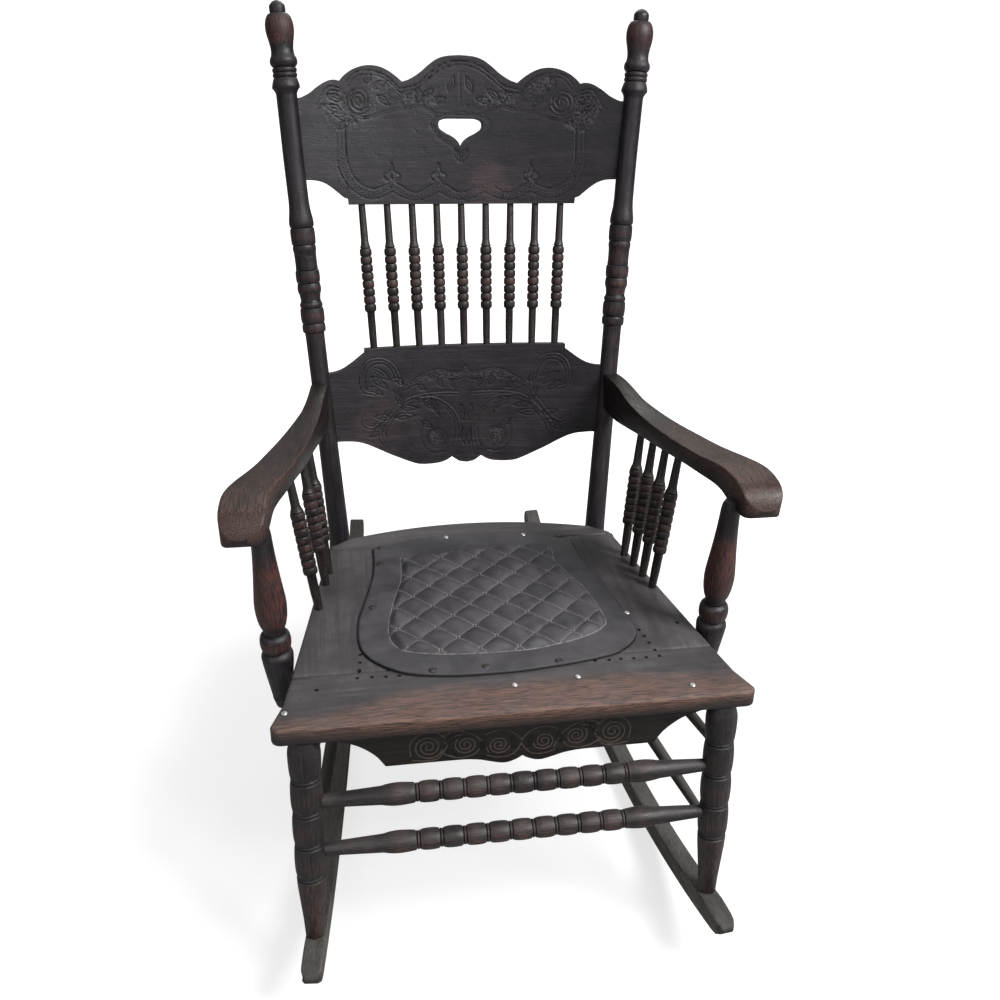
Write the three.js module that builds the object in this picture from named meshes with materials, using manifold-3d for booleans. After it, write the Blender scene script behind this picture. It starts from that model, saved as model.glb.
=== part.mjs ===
// An antique pressed-back arm rocking chair: turned posts with finials, a bent crest rail and lower
// back rail joined by beaded spindles, sawn arms on turned supports, a framed seat drilled for cane
// and covered by a quilted panel, turned legs, and two bow runners. Millimetres, +Z up, the chair
// faces -Y, and it is modelled at rest on the floor.
import * as THREE from "three";
import { mergeVertices } from "three/addons/utils/BufferGeometryUtils.js";
import Module from "manifold-3d";

const wasm = await Module();
wasm.setup();

// Clearances and facet counts
const fitGap = 0.3;
const overrun = 4;
const weldDistance = 0.001;
const cornerGap = 0.05;
const postSides = 12;
const legSides = 12;
const spindleSides = 6;
const stretcherSides = 10;
const dowelSides = 8;
const boreSides = 12;
const tackSides = 6;
const caneHoleSides = 6;
const boardSteps = 10;

// Seat frame: places run back from the front edge along the seat, and up from its top face
const seatFrontY = -230;
const seatFrontHeight = 372.8;
const seatSlope = THREE.MathUtils.degToRad(7.2);
const seatThickness = 22;
const seatFrontHalf = 265;
const seatNarrowing = 58.2;
const seatSideDepth = 411;
const seatClipWidth = 26.8;
const seatClipDepth = 23;
const seatRearBow = 32;
const seatCornerRadius = 8;
const cornerCutShare = 0.3;
const frontRailWidth = 97;
const backRailLap = 7;
const sideRailWidth = 92;
const openingCorner = 40;

// Places worked out from the seat's sizes
const seatRearHalf = seatFrontHalf - seatNarrowing;
const seatClipHalf = seatRearHalf - seatClipWidth;
const seatClipPlace = seatSideDepth + seatClipDepth;
const seatDepth = seatClipPlace + seatRearBow;
const backRailPlace = seatSideDepth - backRailLap;

// Cane holes: a front row and two side rows that start together at the front corners
const caneHoleRadius = 2.5;
const caneRowInset = 73;
const caneRowDepth = 84;
const caneFrontPitch = 15.7;
const caneSidePitch = 14.9;
const caneSideTaperShare = 0.152;
const caneFrontCount = 6;
const caneSideCounts = [1, 2, 3, 4, 13, 14, 15, 16, 17];
const caneRowHalf = seatHalfAt(caneRowDepth) - caneRowInset;

// Quilted seat panel: a thin sheet with a raised quilted field
const panelInset = 93;
const panelHalf = seatFrontHalf - panelInset;
const panelFront = 70.5;
const panelRearInset = 58;
const panelDepth = seatSideDepth - panelRearInset;
const panelSheet = 3.5;
const quiltHeight = 5;
const quiltEdgeHeight = 1;
const quiltInset = 36;
const quiltHalf = panelHalf - quiltInset;
const quiltFront = 111;
const quiltRearInset = 99;
const quiltDepth = panelDepth - quiltRearInset;
const tuftPitch = 47;
const tuftRowPitch = 25.3;
const tuftRowPlace = 144.3;
const quiltSteps = 4;

// Tacks and nail heads
const tackRadius = 3.6;
const tackHeight = 1.9;

// Back posts: foot on the runner, knee at the seat corner, and a straight reclined upper post
const postKneeInset = 14.8;
const postKneeX = seatRearHalf - postKneeInset;
const postKneeBehind = 29.5;
const postKneeY = seatFrontY + seatSideDepth + postKneeBehind;
const postLength = 710.4;
const postRadius = 17.5;
const postSplayHeight = 683.3;
const postSplayOut = 44.4;
const postReclineBack = 189.3;
const rearLegRake = 20.5;
const rearLegFootY = postKneeY - rearLegRake;
const rearLegRadius = 16.5;
const footTenonRadius = 7;
const footTenonDepth = 14;

// Crest rail and lower back rail: bent boards between the posts, places measured up the back
const railThickness = 15;
const railTenonDepth = 5;
const railShoulderRadius = 13.2;
const crestBow = 46;
const crestBottom = 463.5;
const crestPeak = 654.6;
const crestEndBottom = 495.1;
const crestEndTop = 595.6;
const lowRailBow = 33.5;
const lowRailBottom = 95.9;
const lowRailTop = 269.8;
const lowRailEndBottom = 140.3;
const lowRailEndTop = 238.4;
const handHoleHalf = 30.2;
const handHoleTop = 575.4;
const handHoleTip = 538.7;

// Beaded spindles
const spindleCount = 9;
const spindleTopPitchShare = 0.1802;
const spindleFootPitchShare = 0.1693;
const spindleRadius = 8.3;
const armSpindleRadius = 9.2;
const spindleEndRadius = 5.2;
const spindleTenonDepth = 9;
const armSpindleReach = 45;
const armSpindleCount = 4;
const armSpindlePlace = 243;
const armSpindlePitch = 30.7;
const armSpindleEdge = 10;

// Arms: a plan outline and a side profile that share the rear and front places
const armRearInset = 4;
const armRearBehind = 53.5;
const armRearY = postKneeY + armRearBehind;
const armRearAbove = 165.2;
const armRearHeight = seatFrontHeight + armRearAbove;
const armNoseDrop = 3.5;
const armOverhang = 47.5;
const armOuterHalf = seatFrontHalf + armOverhang;
const armInnerRear = postKneeX + armRearInset;
const armNoseBehind = 108;
const armLength = armRearY - seatFrontY - armNoseBehind;
const armCrown = 34;
const armTenonRadius = 6;
const armTenonDepth = 10;

// Arm supports
const supportX = seatFrontHalf;
const supportLean = 1.5;
const supportTopX = supportX + supportLean;
const supportBehind = 136;
const supportY = seatFrontY + supportBehind;
const supportBottomDrop = 91.8;
const supportBottom = seatFrontHeight - supportBottomDrop;
const supportRadius = 18.7;
const supportEndRadius = 9.9;
const supportTenonDepth = 10;

// Front legs
const legInset = 27.2;
const legTopX = seatFrontHalf - legInset;
const legTopBehind = 11.6;
const legTopY = seatFrontY + legTopBehind;
const legSplay = 2.7;
const legFootX = legTopX + legSplay;
const legRake = 54.3;
const legFootY = legTopY - legRake;
const legTopDrop = 31.8;
const legTopHeight = seatFrontHeight - legTopDrop;
const legFootHeight = 78.4;
const legRadius = 18.2;
const legTenonRadius = 9;
const legTenonDepth = 11;

// Runners: boards sawn to an arc, converging towards the back
const runnerThickness = 24;
const runnerInset = 51.3;
const runnerDepth = 28.4;
const runnerRadius = 1124.4;
const runnerLowBehind = 298;
const runnerLowY = seatFrontY + runnerLowBehind;
const runnerX = seatFrontHalf - runnerInset;
const runnerConvergeShare = 0.095;
const runnerFrontReach = 59.3;
const runnerFrontY = legFootY - runnerFrontReach;
const runnerRearReach = 345;
const runnerRearY = rearLegFootY + runnerRearReach;
const runnerNose = 44;
const runnerHeel = 14;
const runnerFacets = 15;

// Stretchers
const frontUpperHeight = 265;
const frontLowerHeight = 200.5;
const stretcherRadius = 12.8;
const stretcherEndRadius = 7.6;
const stretcherTenonDepth = 10;
const legWall = 18;
const rearWall = 16;
const barrelPitch = 26.9;
const barrelCount = 9;
const sideUpperFront = 286;
const sideUpperRear = 190;
const sideLowerFront = 172;
const sideLowerRear = 95;
const rearHeight = 150;
const sideStretcherRadius = 8.2;
const sideEndRadius = 5;
const rearStretcherRadius = 8;

// Apron under the front rail
const apronPlace = 28;
const apronThickness = 13;
const apronTopInset = 52;
const apronTopHalf = seatFrontHalf - apronTopInset;
const apronFlare = 56;
const apronBottomHalf = apronTopHalf - apronFlare;
const apronDrop = 83;
const apronLobeDrop = 93;
const apronShift = 7;

const colours = {
  darkWood: 0x2e2523,
  postWood: 0x36291f,
  armWood: 0x50362b,
  seatWood: 0x5c5450,
  seatFrontWood: 0x6a4a3a,
  legWood: 0x3c302c,
  runnerWood: 0x555048,
  panelLeather: 0x4b4948,
  tackMetal: 0x9b9890,
};

/** A worn, nearly matt finish of one colour. */
function finish(colour, roughness, metalness) {
  return new THREE.MeshStandardMaterial({ color: colour, roughness, metalness });
}

const finishes = {
  back: finish(colours.darkWood, 0.75, 0),
  post: finish(colours.postWood, 0.7, 0),
  arm: finish(colours.armWood, 0.6, 0),
  seat: finish(colours.seatWood, 0.85, 0),
  seatFront: finish(colours.seatFrontWood, 0.8, 0),
  leg: finish(colours.legWood, 0.75, 0),
  runner: finish(colours.runnerWood, 0.9, 0),
  panel: finish(colours.panelLeather, 0.7, 0),
  tack: finish(colours.tackMetal, 0.45, 0.8),
};

/** A closed geometry as a solid that can be joined and cut. */
function solidOf(geometry) {
  const bare = geometry.clone();
  bare.deleteAttribute("normal");
  bare.deleteAttribute("uv");
  const merged = mergeVertices(bare, weldDistance);
  const vertProperties = merged.attributes.position.array;
  const triVerts = new Uint32Array(merged.index.array);
  return new wasm.Manifold(new wasm.Mesh({ numProp: 3, vertProperties, triVerts }));
}

/** A solid as a geometry with flat facets. */
function geometryOf(solid) {
  const mesh = solid.getMesh();
  const geometry = new THREE.BufferGeometry();
  geometry.setAttribute("position", new THREE.BufferAttribute(mesh.vertProperties, mesh.numProp));
  geometry.setIndex(new THREE.BufferAttribute(mesh.triVerts, 1));
  const flat = geometry.toNonIndexed();
  flat.computeVertexNormals();
  return flat;
}

/** The first geometry with each of the others cut away. */
function cut(geometry, tools) {
  let solid = solidOf(geometry);
  for (const tool of tools) {
    solid = solid.subtract(solidOf(tool));
  }
  return geometryOf(solid);
}

/** Two geometries joined into one. */
function join(first, second) {
  return geometryOf(solidOf(first).add(solidOf(second)));
}

/** What two geometries share. */
function common(first, second) {
  return geometryOf(solidOf(first).intersect(solidOf(second)));
}

/** A mirrored copy on the other side of the chair's middle plane, with its faces still outward. */
function mirrored(geometry) {
  const copy = (geometry.index ? geometry.toNonIndexed() : geometry.clone()).scale(-1, 1, 1);
  const place = copy.attributes.position;
  for (let i = 0; i < place.count; i += 3) {
    const a = new THREE.Vector3().fromBufferAttribute(place, i + 1);
    const b = new THREE.Vector3().fromBufferAttribute(place, i + 2);
    place.setXYZ(i + 1, b.x, b.y, b.z);
    place.setXYZ(i + 2, a.x, a.y, a.z);
  }
  copy.computeVertexNormals();
  return copy;
}

/** A lathe along +Y from [distance, radius] points, closed on its axis at both ends. */
function turned(profile, sides) {
  const points = profile.map(([distance, radius]) => new THREE.Vector2(radius, distance));
  points.unshift(new THREE.Vector2(0, profile[0][0]));
  points.push(new THREE.Vector2(0, profile[profile.length - 1][0]));
  return new THREE.LatheGeometry(points, sides);
}

/** Profile points from shares of a length and of a radius, with clearance added to the radius. */
function profileFrom(shares, length, radius, clearance = 0) {
  return shares.map(([along, out]) => [along * length, out * radius + clearance]);
}

/** A plain round bar between two places. */
function bar(start, end, radius, sides) {
  const length = start.distanceTo(end);
  const profile = [[0, radius], [length, radius]];
  return alongLine(turned(profile, sides), start, end);
}

/** A tool that bores room for a round end between two places, clear of it all round. */
function bore(start, end, radius) {
  const sides = boreSides;
  return bar(start, end, (radius + fitGap) / Math.cos(Math.PI / sides), sides);
}

/** Turns a geometry that stands on +Y so that it starts at one place and points to another. */
function alongLine(geometry, start, end) {
  const direction = end.clone().sub(start).normalize();
  const turn = new THREE.Quaternion().setFromUnitVectors(new THREE.Vector3(0, 1, 0), direction);
  return geometry.applyQuaternion(turn).translate(start.x, start.y, start.z);
}

/** The place a given way from one point towards another. */
function towards(start, end, distance) {
  return start.clone().add(end.clone().sub(start).setLength(distance));
}

/** The place on the line between two points at a height. */
function atHeight(low, high, height) {
  return low.clone().lerp(high, (height - low.z) / (high.z - low.z));
}

/** A prism over a shape, between two levels of its own third axis. */
function prism(shape, bottom, top) {
  const options = { depth: top - bottom, bevelEnabled: false, curveSegments: boardSteps };
  return new THREE.ExtrudeGeometry(shape, options).translate(0, 0, bottom);
}

/** A block between two corners. */
function block(low, high) {
  const size = high.clone().sub(low);
  const centre = low.clone().add(high).multiplyScalar(0.5);
  return new THREE.BoxGeometry(size.x, size.y, size.z).translate(centre.x, centre.y, centre.z);
}

// The seat's own frame: across, back along the top face, and up out of it
const seatFrame = new THREE.Matrix4().makeRotationX(-seatSlope);
seatFrame.setPosition(0, seatFrontY, seatFrontHeight);

/** A place in the seat's frame as a place in the chair. */
function onSeat(across, back, up) {
  return new THREE.Vector3(across, back, up).applyMatrix4(seatFrame);
}

// The back's own frame: across, up along the recline, and forward out of the back
const knee = new THREE.Vector3(postKneeX, postKneeY, onSeat(0, postKneeY - seatFrontY, 0).z);
const postRise = new THREE.Vector3(postSplayOut, postReclineBack, postSplayHeight).normalize();
const postTip = knee.clone().addScaledVector(postRise, postLength);
const recline = Math.atan2(postReclineBack, postSplayHeight);
const backFrame = new THREE.Matrix4().makeRotationX(Math.PI / 2 - recline);
backFrame.setPosition(0, knee.y, knee.z);
const splayShare = postSplayOut / Math.hypot(postReclineBack, postSplayHeight);

/** A place in the back's frame as a place in the chair. */
function onBack(across, up, forward) {
  return new THREE.Vector3(across, up, forward).applyMatrix4(backFrame);
}

/** Half the distance between the post axes at a place up the back. */
function postHalfAt(up) {
  return postKneeX + splayShare * up;
}

/** The runner's middle line, across the chair, at a place along it. */
function runnerXAt(y) {
  return runnerX - runnerConvergeShare * y;
}

/** Half the distance between the faces of the posts that a rail's ends meet. */
function shoulderAt(up) {
  return postHalfAt(up) - railShoulderRadius;
}

/** The height of the runner's top face at a place along it. */
function runnerTopAt(y) {
  const along = (y - runnerLowY) * Math.hypot(1, runnerConvergeShare);
  return runnerRadius - Math.sqrt((runnerRadius - runnerDepth) ** 2 - along ** 2);
}

/** A runner's outline, seen from the side, grown by a clearance. */
function runnerShape(clearance) {
  const stretch = Math.hypot(1, runnerConvergeShare);
  const facet = ((runnerRearY - runnerFrontY) * stretch) / runnerFacets;
  const front = (runnerFrontY - runnerLowY) * stretch - clearance;
  const rear = (runnerRearY - runnerLowY) * stretch + clearance;
  const low = runnerRadius + clearance;
  const high = runnerRadius - runnerDepth - clearance;
  const heightOn = (radius, along) => runnerRadius - Math.sqrt(radius ** 2 - along ** 2);
  const heelTop = rear - runnerHeel;
  const noseTop = front + runnerNose;
  const places = [[front, heightOn(low, front)]];
  const first = (Math.ceil(front / facet) + 0.5) * facet;
  for (let along = first; along < heelTop; along += facet) {
    places.push([along, heightOn(low, along)]);
  }
  const heel = new THREE.QuadraticBezierCurve(
    new THREE.Vector2(heelTop, heightOn(low, heelTop)),
    new THREE.Vector2(rear, heightOn(low, rear) + runnerHeel / 2),
    new THREE.Vector2(heelTop, heightOn(high, heelTop)),
  );
  places.push(...heel.getPoints(boardSteps / 2).map((point) => [point.x, point.y]));
  for (let i = 1; i < runnerFacets; i += 1) {
    const along = THREE.MathUtils.lerp(heelTop, noseTop, i / runnerFacets);
    places.push([along, heightOn(high, along)]);
  }
  const nose = new THREE.QuadraticBezierCurve(
    new THREE.Vector2(noseTop, heightOn(high, noseTop)),
    new THREE.Vector2(front + runnerHeel, heightOn(high, front + runnerHeel)),
    new THREE.Vector2(front, heightOn(low, front)),
  );
  places.push(...nose.getPoints(boardSteps / 2).map((point) => [point.x, point.y]));
  return outline(places);
}

/** The right runner's board, grown by a clearance. */
function runnerBoard(clearance) {
  const half = runnerThickness / 2 + clearance;
  const board = prism(runnerShape(clearance), -half, half);
  board.rotateX(Math.PI / 2).rotateZ(Math.PI / 2 + Math.atan(runnerConvergeShare));
  return board.translate(runnerXAt(runnerLowY), runnerLowY, 0);
}

// Post: shares of the rear leg's length and of the upper post's length, from the bottom
const rearLegShares = [
  [0, 0.64], [0.12, 0.68], [0.42, 0.95], [0.6, 1], [0.61, 0.9], [0.625, 1], [0.74, 0.98],
  [0.75, 0.88], [0.765, 0.98], [0.9, 0.91],
];
const postShares = [
  [0.01, 0.84], [0.161, 0.777], [0.325, 0.735], [0.416, 0.749], [0.42, 0.9], [0.432, 0.9],
  [0.436, 0.84], [0.44, 0.91], [0.462, 0.91], [0.481, 0.763], [0.509, 0.91], [0.533, 0.914],
  [0.552, 0.829], [0.568, 0.857], [0.575, 0.817], [0.597, 0.925], [0.613, 0.857], [0.624, 0.923],
  [0.632, 0.771], [0.843, 0.757], [0.847, 0.943], [0.861, 0.986], [0.875, 0.85], [0.904, 0.971],
  [0.924, 0.771], [0.959, 1], [0.979, 0.629], [0.992, 0.486], [0.998, 0.314],
];

/** The right post with its rear leg, grown by a clearance, from below the runner's top face up. */
function postBody(clearance) {
  const footX = runnerXAt(rearLegFootY);
  const foot = new THREE.Vector3(footX, rearLegFootY, runnerTopAt(rearLegFootY));
  const lowLength = foot.distanceTo(knee);
  const lowProfile = profileFrom(rearLegShares, lowLength, rearLegRadius, clearance);
  const highProfile = profileFrom(postShares, postLength, postRadius, clearance);
  const profile = [[-overrun, lowProfile[0][1]], ...lowProfile];
  for (const [distance, radius] of highProfile) {
    profile.push([lowLength + distance, radius]);
  }
  const geometry = turned(profile, postSides);
  const up = new THREE.Vector3(0, 1, 0);
  const lowRise = knee.clone().sub(foot).normalize();
  const lowTurn = new THREE.Quaternion().setFromUnitVectors(up, lowRise);
  const highTurn = new THREE.Quaternion().setFromUnitVectors(up, postRise);
  const place = geometry.attributes.position;
  for (let i = 0; i < place.count; i += 1) {
    const distance = place.getY(i) - lowLength;
    const out = new THREE.Vector3(place.getX(i), 0, place.getZ(i));
    out.applyQuaternion(distance < 0 ? lowTurn : highTurn);
    out.add(knee).addScaledVector(distance < 0 ? lowRise : postRise, distance);
    place.setXYZ(i, out.x, out.y, out.z);
  }
  geometry.computeVertexNormals();
  return geometry;
}

/** A peg from the rear leg's foot down into the runner. */
function rearFootPeg(clearance) {
  const foot = new THREE.Vector3(runnerXAt(rearLegFootY), rearLegFootY, runnerTopAt(rearLegFootY));
  const inside = towards(foot, knee, footTenonDepth);
  const end = towards(foot, knee, -footTenonDepth - clearance);
  return bar(end, inside, footTenonRadius + clearance, dowelSides);
}

/** A peg from the front leg's foot down into the runner. */
function frontFootPeg(clearance) {
  const inside = towards(legFoot, legTop, footTenonDepth);
  const end = towards(legFoot, legTop, -footTenonDepth - clearance);
  return bar(end, inside, footTenonRadius + clearance, dowelSides);
}

/** A board bent about the back, seen from above as an arc, between two places up the back. */
function bentSlab(half, bow, thickness, bottom, top) {
  const points = [];
  for (let i = 0; i <= boardSteps; i += 1) {
    const across = THREE.MathUtils.lerp(-half, half, i / boardSteps);
    const deep = bow * (1 - (across / half) ** 2);
    points.push(new THREE.Vector2(across, deep - thickness / 2));
    points.unshift(new THREE.Vector2(across, deep + thickness / 2));
  }
  return prism(new THREE.Shape(points), bottom, top).rotateX(-Math.PI / 2);
}

/** A closed shape through places, leaving out any that repeats the one before it. */
function outline(places) {
  const apart = places.filter(([x, y], i) => {
    const [lastX, lastY] = places[(i + places.length - 1) % places.length];
    return Math.hypot(x - lastX, y - lastY) > cornerGap;
  });
  return new THREE.Shape(apart.map(([x, y]) => new THREE.Vector2(x, y)));
}

/** An outline from the places of its right half, mirrored to a closed shape. */
function symmetricShape(rightHalf) {
  const leftHalf = rightHalf.slice(1, -1).reverse().map(([x, y]) => [-x, y]);
  return outline([...rightHalf, ...leftHalf]);
}

/** Points on a smooth curve through a few places. */
function smooth(places, steps) {
  const curve = new THREE.SplineCurve(places.map(([x, y]) => new THREE.Vector2(x, y)));
  return curve.getPoints(steps).map((point) => [point.x, point.y]);
}

// Crest outline: shares of half its width and of the rise from its end tops or bottoms
const humpShares = [[0, 1], [0.08, 0.97], [0.168, 0.79], [0.24, 0.56], [0.3, 0.44], [0.361, 0.45]];
const lobeShares = [
  [0.361, 0.45], [0.4, 0.595], [0.463, 0.72], [0.53, 0.763], [0.6, 0.745], [0.675, 0.62], [0.737, 0.41],
];
const shoulderShares = [[0.737, 0.41], [0.79, 0.435], [0.86, 0.35], [0.93, 0.14], [1, 0]];
const crestUnderShares = [[1, 1], [0.93, 0.99], [0.85, 0.78], [0.785, 0.42], [0.724, 0.22]];

/** The outline of the crest rail, with its ends run into the posts. */
function crestShape() {
  const rise = crestPeak - crestEndTop;
  const drop = crestEndBottom - crestBottom;
  const topHalf = shoulderAt(crestEndTop);
  const endHalf = shoulderAt(crestEndBottom);
  const upper = (shares) => shares.map(([x, y]) => [x * topHalf, crestEndTop + y * rise]);
  const under = crestUnderShares.map(([x, y]) => [x * endHalf, crestBottom + y * drop]);
  return symmetricShape([
    [0, crestBottom],
    [under[under.length - 1][0], crestBottom],
    ...smooth(under, boardSteps / 2).reverse(),
    [endHalf + railTenonDepth, crestEndBottom],
    [topHalf + railTenonDepth, crestEndTop],
    ...smooth(upper(shoulderShares), boardSteps / 2).reverse(),
    ...smooth(upper(lobeShares), boardSteps).reverse().slice(1),
    ...smooth(upper(humpShares), boardSteps / 2).reverse().slice(1),
  ]);
}

// Hand hole: shares of its half width and height, from the tip up
const handHoleShares = [
  [0, 0], [0.14, 0.2], [0.38, 0.36], [0.75, 0.5], [0.96, 0.66], [0.96, 0.88], [0.75, 0.99], [0, 1],
];

/** The hand hole's outline. */
function handHoleShape() {
  const height = handHoleTop - handHoleTip;
  return symmetricShape(
    handHoleShares.map(([x, y]) => [x * handHoleHalf, handHoleTip + y * height]),
  );
}

// Lower rail outline: shares of half its width and of the drop or rise from its ends
const lowUnderShares = [
  [0.115, 0.21], [0.16, 0.1], [0.22, 0.02], [0.325, 0], [0.42, 0.08], [0.6, 0.42], [0.8, 0.9], [1, 1],
];
const lowPointShares = [[0, 0], [0.06, 0.05], [0.115, 0.21]];
const lowUpperShares = [[1, 0], [0.93, 0.06], [0.84, 0.42], [0.754, 0.8]];

/** The outline of the lower back rail, with its ends run into the posts. */
function lowRailShape() {
  const drop = lowRailEndBottom - lowRailBottom;
  const rise = lowRailTop - lowRailEndTop;
  const topHalf = shoulderAt(lowRailEndTop);
  const endHalf = shoulderAt(lowRailEndBottom);
  const under = (shares) => shares.map(([x, y]) => [x * endHalf, lowRailBottom + y * drop]);
  const upper = lowUpperShares.map(([x, y]) => [x * topHalf, lowRailEndTop + y * rise]);
  return symmetricShape([
    ...smooth(under(lowPointShares), boardSteps / 2),
    ...smooth(under(lowUnderShares), boardSteps).slice(1),
    [endHalf + railTenonDepth, lowRailEndBottom],
    [topHalf + railTenonDepth, lowRailEndTop],
    ...smooth(upper, boardSteps / 2),
    [upper[upper.length - 1][0], lowRailTop],
    [0, lowRailTop],
  ]);
}

/** A bent rail: an outline cut out of a bent slab, placed in the back. */
function bentRail(shape, bow, bottom, top) {
  const half = postHalfAt(top);
  const slab = bentSlab(half, bow, railThickness, bottom - overrun, top + overrun);
  const outline = prism(shape, -bow - railThickness, railThickness);
  return common(slab, outline);
}

/** The mortise that a bent rail's end makes in a post. */
function railMortise(bow, endBottom, endTop, top) {
  const reach = shoulderAt(endTop) + railTenonDepth + fitGap;
  const reachLow = shoulderAt(endBottom) + railTenonDepth + fitGap;
  const inner = reachLow - postRadius - overrun;
  const shape = new THREE.Shape([
    new THREE.Vector2(inner, endBottom - fitGap),
    new THREE.Vector2(reachLow, endBottom - fitGap),
    new THREE.Vector2(reach, endTop + fitGap),
    new THREE.Vector2(inner, endTop + fitGap),
  ]);
  const half = postHalfAt(top);
  const slab = bentSlab(half, bow, railThickness + 2 * fitGap, endBottom - overrun, endTop + overrun);
  const outline = prism(shape, -bow - railThickness, railThickness);
  return common(slab, outline).applyMatrix4(backFrame);
}

/** The beaded spindle's profile: a plain foot, eight beads and a plain tapered top. */
function spindleProfile(length, radius) {
  const footShare = 0.259;
  const beadsShare = 0.45;
  const beads = 8;
  const grooveRadiusShare = 0.86;
  const profile = [[-spindleTenonDepth, spindleEndRadius]];
  for (let bead = 0; bead <= beads; bead += 1) {
    const groove = (footShare + (beadsShare * bead) / beads) * length;
    const half = (beadsShare * length) / beads / 2;
    profile.push([groove, grooveRadiusShare * radius]);
    if (bead < beads) {
      profile.push([groove + half, radius]);
    }
  }
  profile.push([length, spindleEndRadius], [length + spindleTenonDepth, spindleEndRadius]);
  return profile;
}

/** A spindle between two faces, with its ends run into them. */
function spindle(foot, top, radius) {
  const profile = spindleProfile(foot.distanceTo(top), radius);
  return alongLine(turned(profile, spindleSides), foot.clone(), top);
}

/** The socket that a spindle's end needs. */
function spindleSocket(end, other) {
  const deep = towards(end, other, -spindleTenonDepth - fitGap);
  return bore(deep, towards(end, other, spindleTenonDepth), spindleEndRadius);
}

/** Where a back spindle meets the lower rail and the crest. */
function backSpindleEnds(index) {
  const step = index - (spindleCount - 1) / 2;
  const across = [
    step * spindleFootPitchShare * postKneeX, step * spindleTopPitchShare * postKneeX,
  ];
  const halves = [postHalfAt(lowRailTop), postHalfAt(crestPeak)];
  const bows = [lowRailBow, crestBow];
  const levels = [lowRailTop, crestBottom];
  return levels.map((level, i) => {
    const deep = -bows[i] * (1 - (across[i] / halves[i]) ** 2);
    return onBack(across[i], level, deep);
  });
}

// Front leg: shares of its length from the foot, and of its radius
const legShares = [
  [0, 0.6], [0.15, 0.8], [0.29, 0.925], [0.335, 0.88], [0.347, 0.78], [0.359, 0.88],
  [0.43, 0.96], [0.503, 0.88], [0.515, 0.78], [0.527, 0.88], [0.595, 0.975], [0.663, 0.88],
  [0.675, 0.78], [0.687, 0.88], [0.756, 0.99], [0.825, 0.88], [0.837, 0.78], [0.849, 0.88],
  [0.9, 0.97], [0.958, 1], [0.985, 0.93], [1.01, 0.83],
];
const legTop = new THREE.Vector3(legTopX, legTopY, legTopHeight);
const legFoot = new THREE.Vector3(legFootX, legFootY, legFootHeight);

/** The right front leg, trimmed to the seat and to the runner, with a tenon at each end. */
function frontLeg() {
  const profile = profileFrom(legShares, legFoot.distanceTo(legTop), legRadius);
  profile.unshift([-overrun, profile[0][1]]);
  profile.push([profile[profile.length - 1][0] + seatThickness, profile[profile.length - 1][1]]);
  const body = alongLine(turned(profile, legSides), legFoot.clone(), legTop);
  const trimmed = cut(body, [seatSpace(), runnerSpace()]);
  const pegged = join(join(trimmed, legTenon(0)), frontFootPeg(0));
  return cut(pegged, legSockets());
}

/** The seat's room and everything above it, with a clearance. */
function seatSpace() {
  const low = new THREE.Vector3(-2 * seatFrontHalf, -seatDepth, -seatThickness - fitGap);
  const high = new THREE.Vector3(2 * seatFrontHalf, 2 * seatDepth, seatDepth);
  return block(low, high).applyMatrix4(seatFrame);
}

/** The right runner's room and everything under it, with a clearance. */
function runnerSpace() {
  const deep = runnerBoard(fitGap).translate(0, 0, -runnerDepth / 2);
  return join(runnerBoard(fitGap), deep);
}

/** Where the right leg's axis meets the seat's underside. */
function legSeatPlace() {
  const normal = new THREE.Vector3(0, 0, 1).transformDirection(seatFrame);
  const underside = new THREE.Plane().setFromNormalAndCoplanarPoint(
    normal, onSeat(0, 0, -seatThickness),
  );
  const beyond = towards(legTop, legFoot, -seatDepth);
  return underside.intersectLine(new THREE.Line3(legFoot, beyond), new THREE.Vector3());
}

/** The tenon at the top of a front leg, grown by a clearance. */
function legTenon(clearance) {
  const under = legSeatPlace();
  const start = towards(under, legFoot, overrun);
  const end = towards(under, legFoot, -legTenonDepth - clearance);
  return bar(start, end, legTenonRadius + clearance, dowelSides);
}

/** A stretcher's tenon socket at one end, on the line to its other end. */
function stretcherSocket(end, other, radius, wall) {
  const inside = towards(end, other, wall - stretcherTenonDepth - fitGap);
  const outside = towards(end, other, wall + overrun);
  return bore(inside, outside, radius);
}

/** The places where the right leg's stretchers start and end, on the leg axes. */
function stretcherEnds() {
  const rearFoot = new THREE.Vector3(
    runnerXAt(rearLegFootY), rearLegFootY, runnerTopAt(rearLegFootY),
  );
  const pairs = {
    sideUpper: [sideUpperFront, sideUpperRear],
    sideLower: [sideLowerFront, sideLowerRear],
  };
  const ends = {};
  for (const [name, [front, rear]] of Object.entries(pairs)) {
    ends[name] = [atHeight(legFoot, legTop, front), atHeight(rearFoot, knee, rear)];
  }
  ends.frontUpper = acrossFrom(atHeight(legFoot, legTop, frontUpperHeight));
  ends.frontLower = acrossFrom(atHeight(legFoot, legTop, frontLowerHeight));
  ends.rear = acrossFrom(atHeight(rearFoot, knee, rearHeight));
  return ends;
}

/** A place and its mirror image on the left. */
function acrossFrom(place) {
  return [place, new THREE.Vector3(-place.x, place.y, place.z)];
}

/** The sockets in a front leg. */
function legSockets() {
  const ends = stretcherEnds();
  return [
    stretcherSocket(...ends.frontUpper, stretcherEndRadius, legWall),
    stretcherSocket(...ends.frontLower, stretcherEndRadius, legWall),
    stretcherSocket(...ends.sideUpper, sideEndRadius, legWall),
    stretcherSocket(...ends.sideLower, sideEndRadius, legWall),
  ];
}

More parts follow.
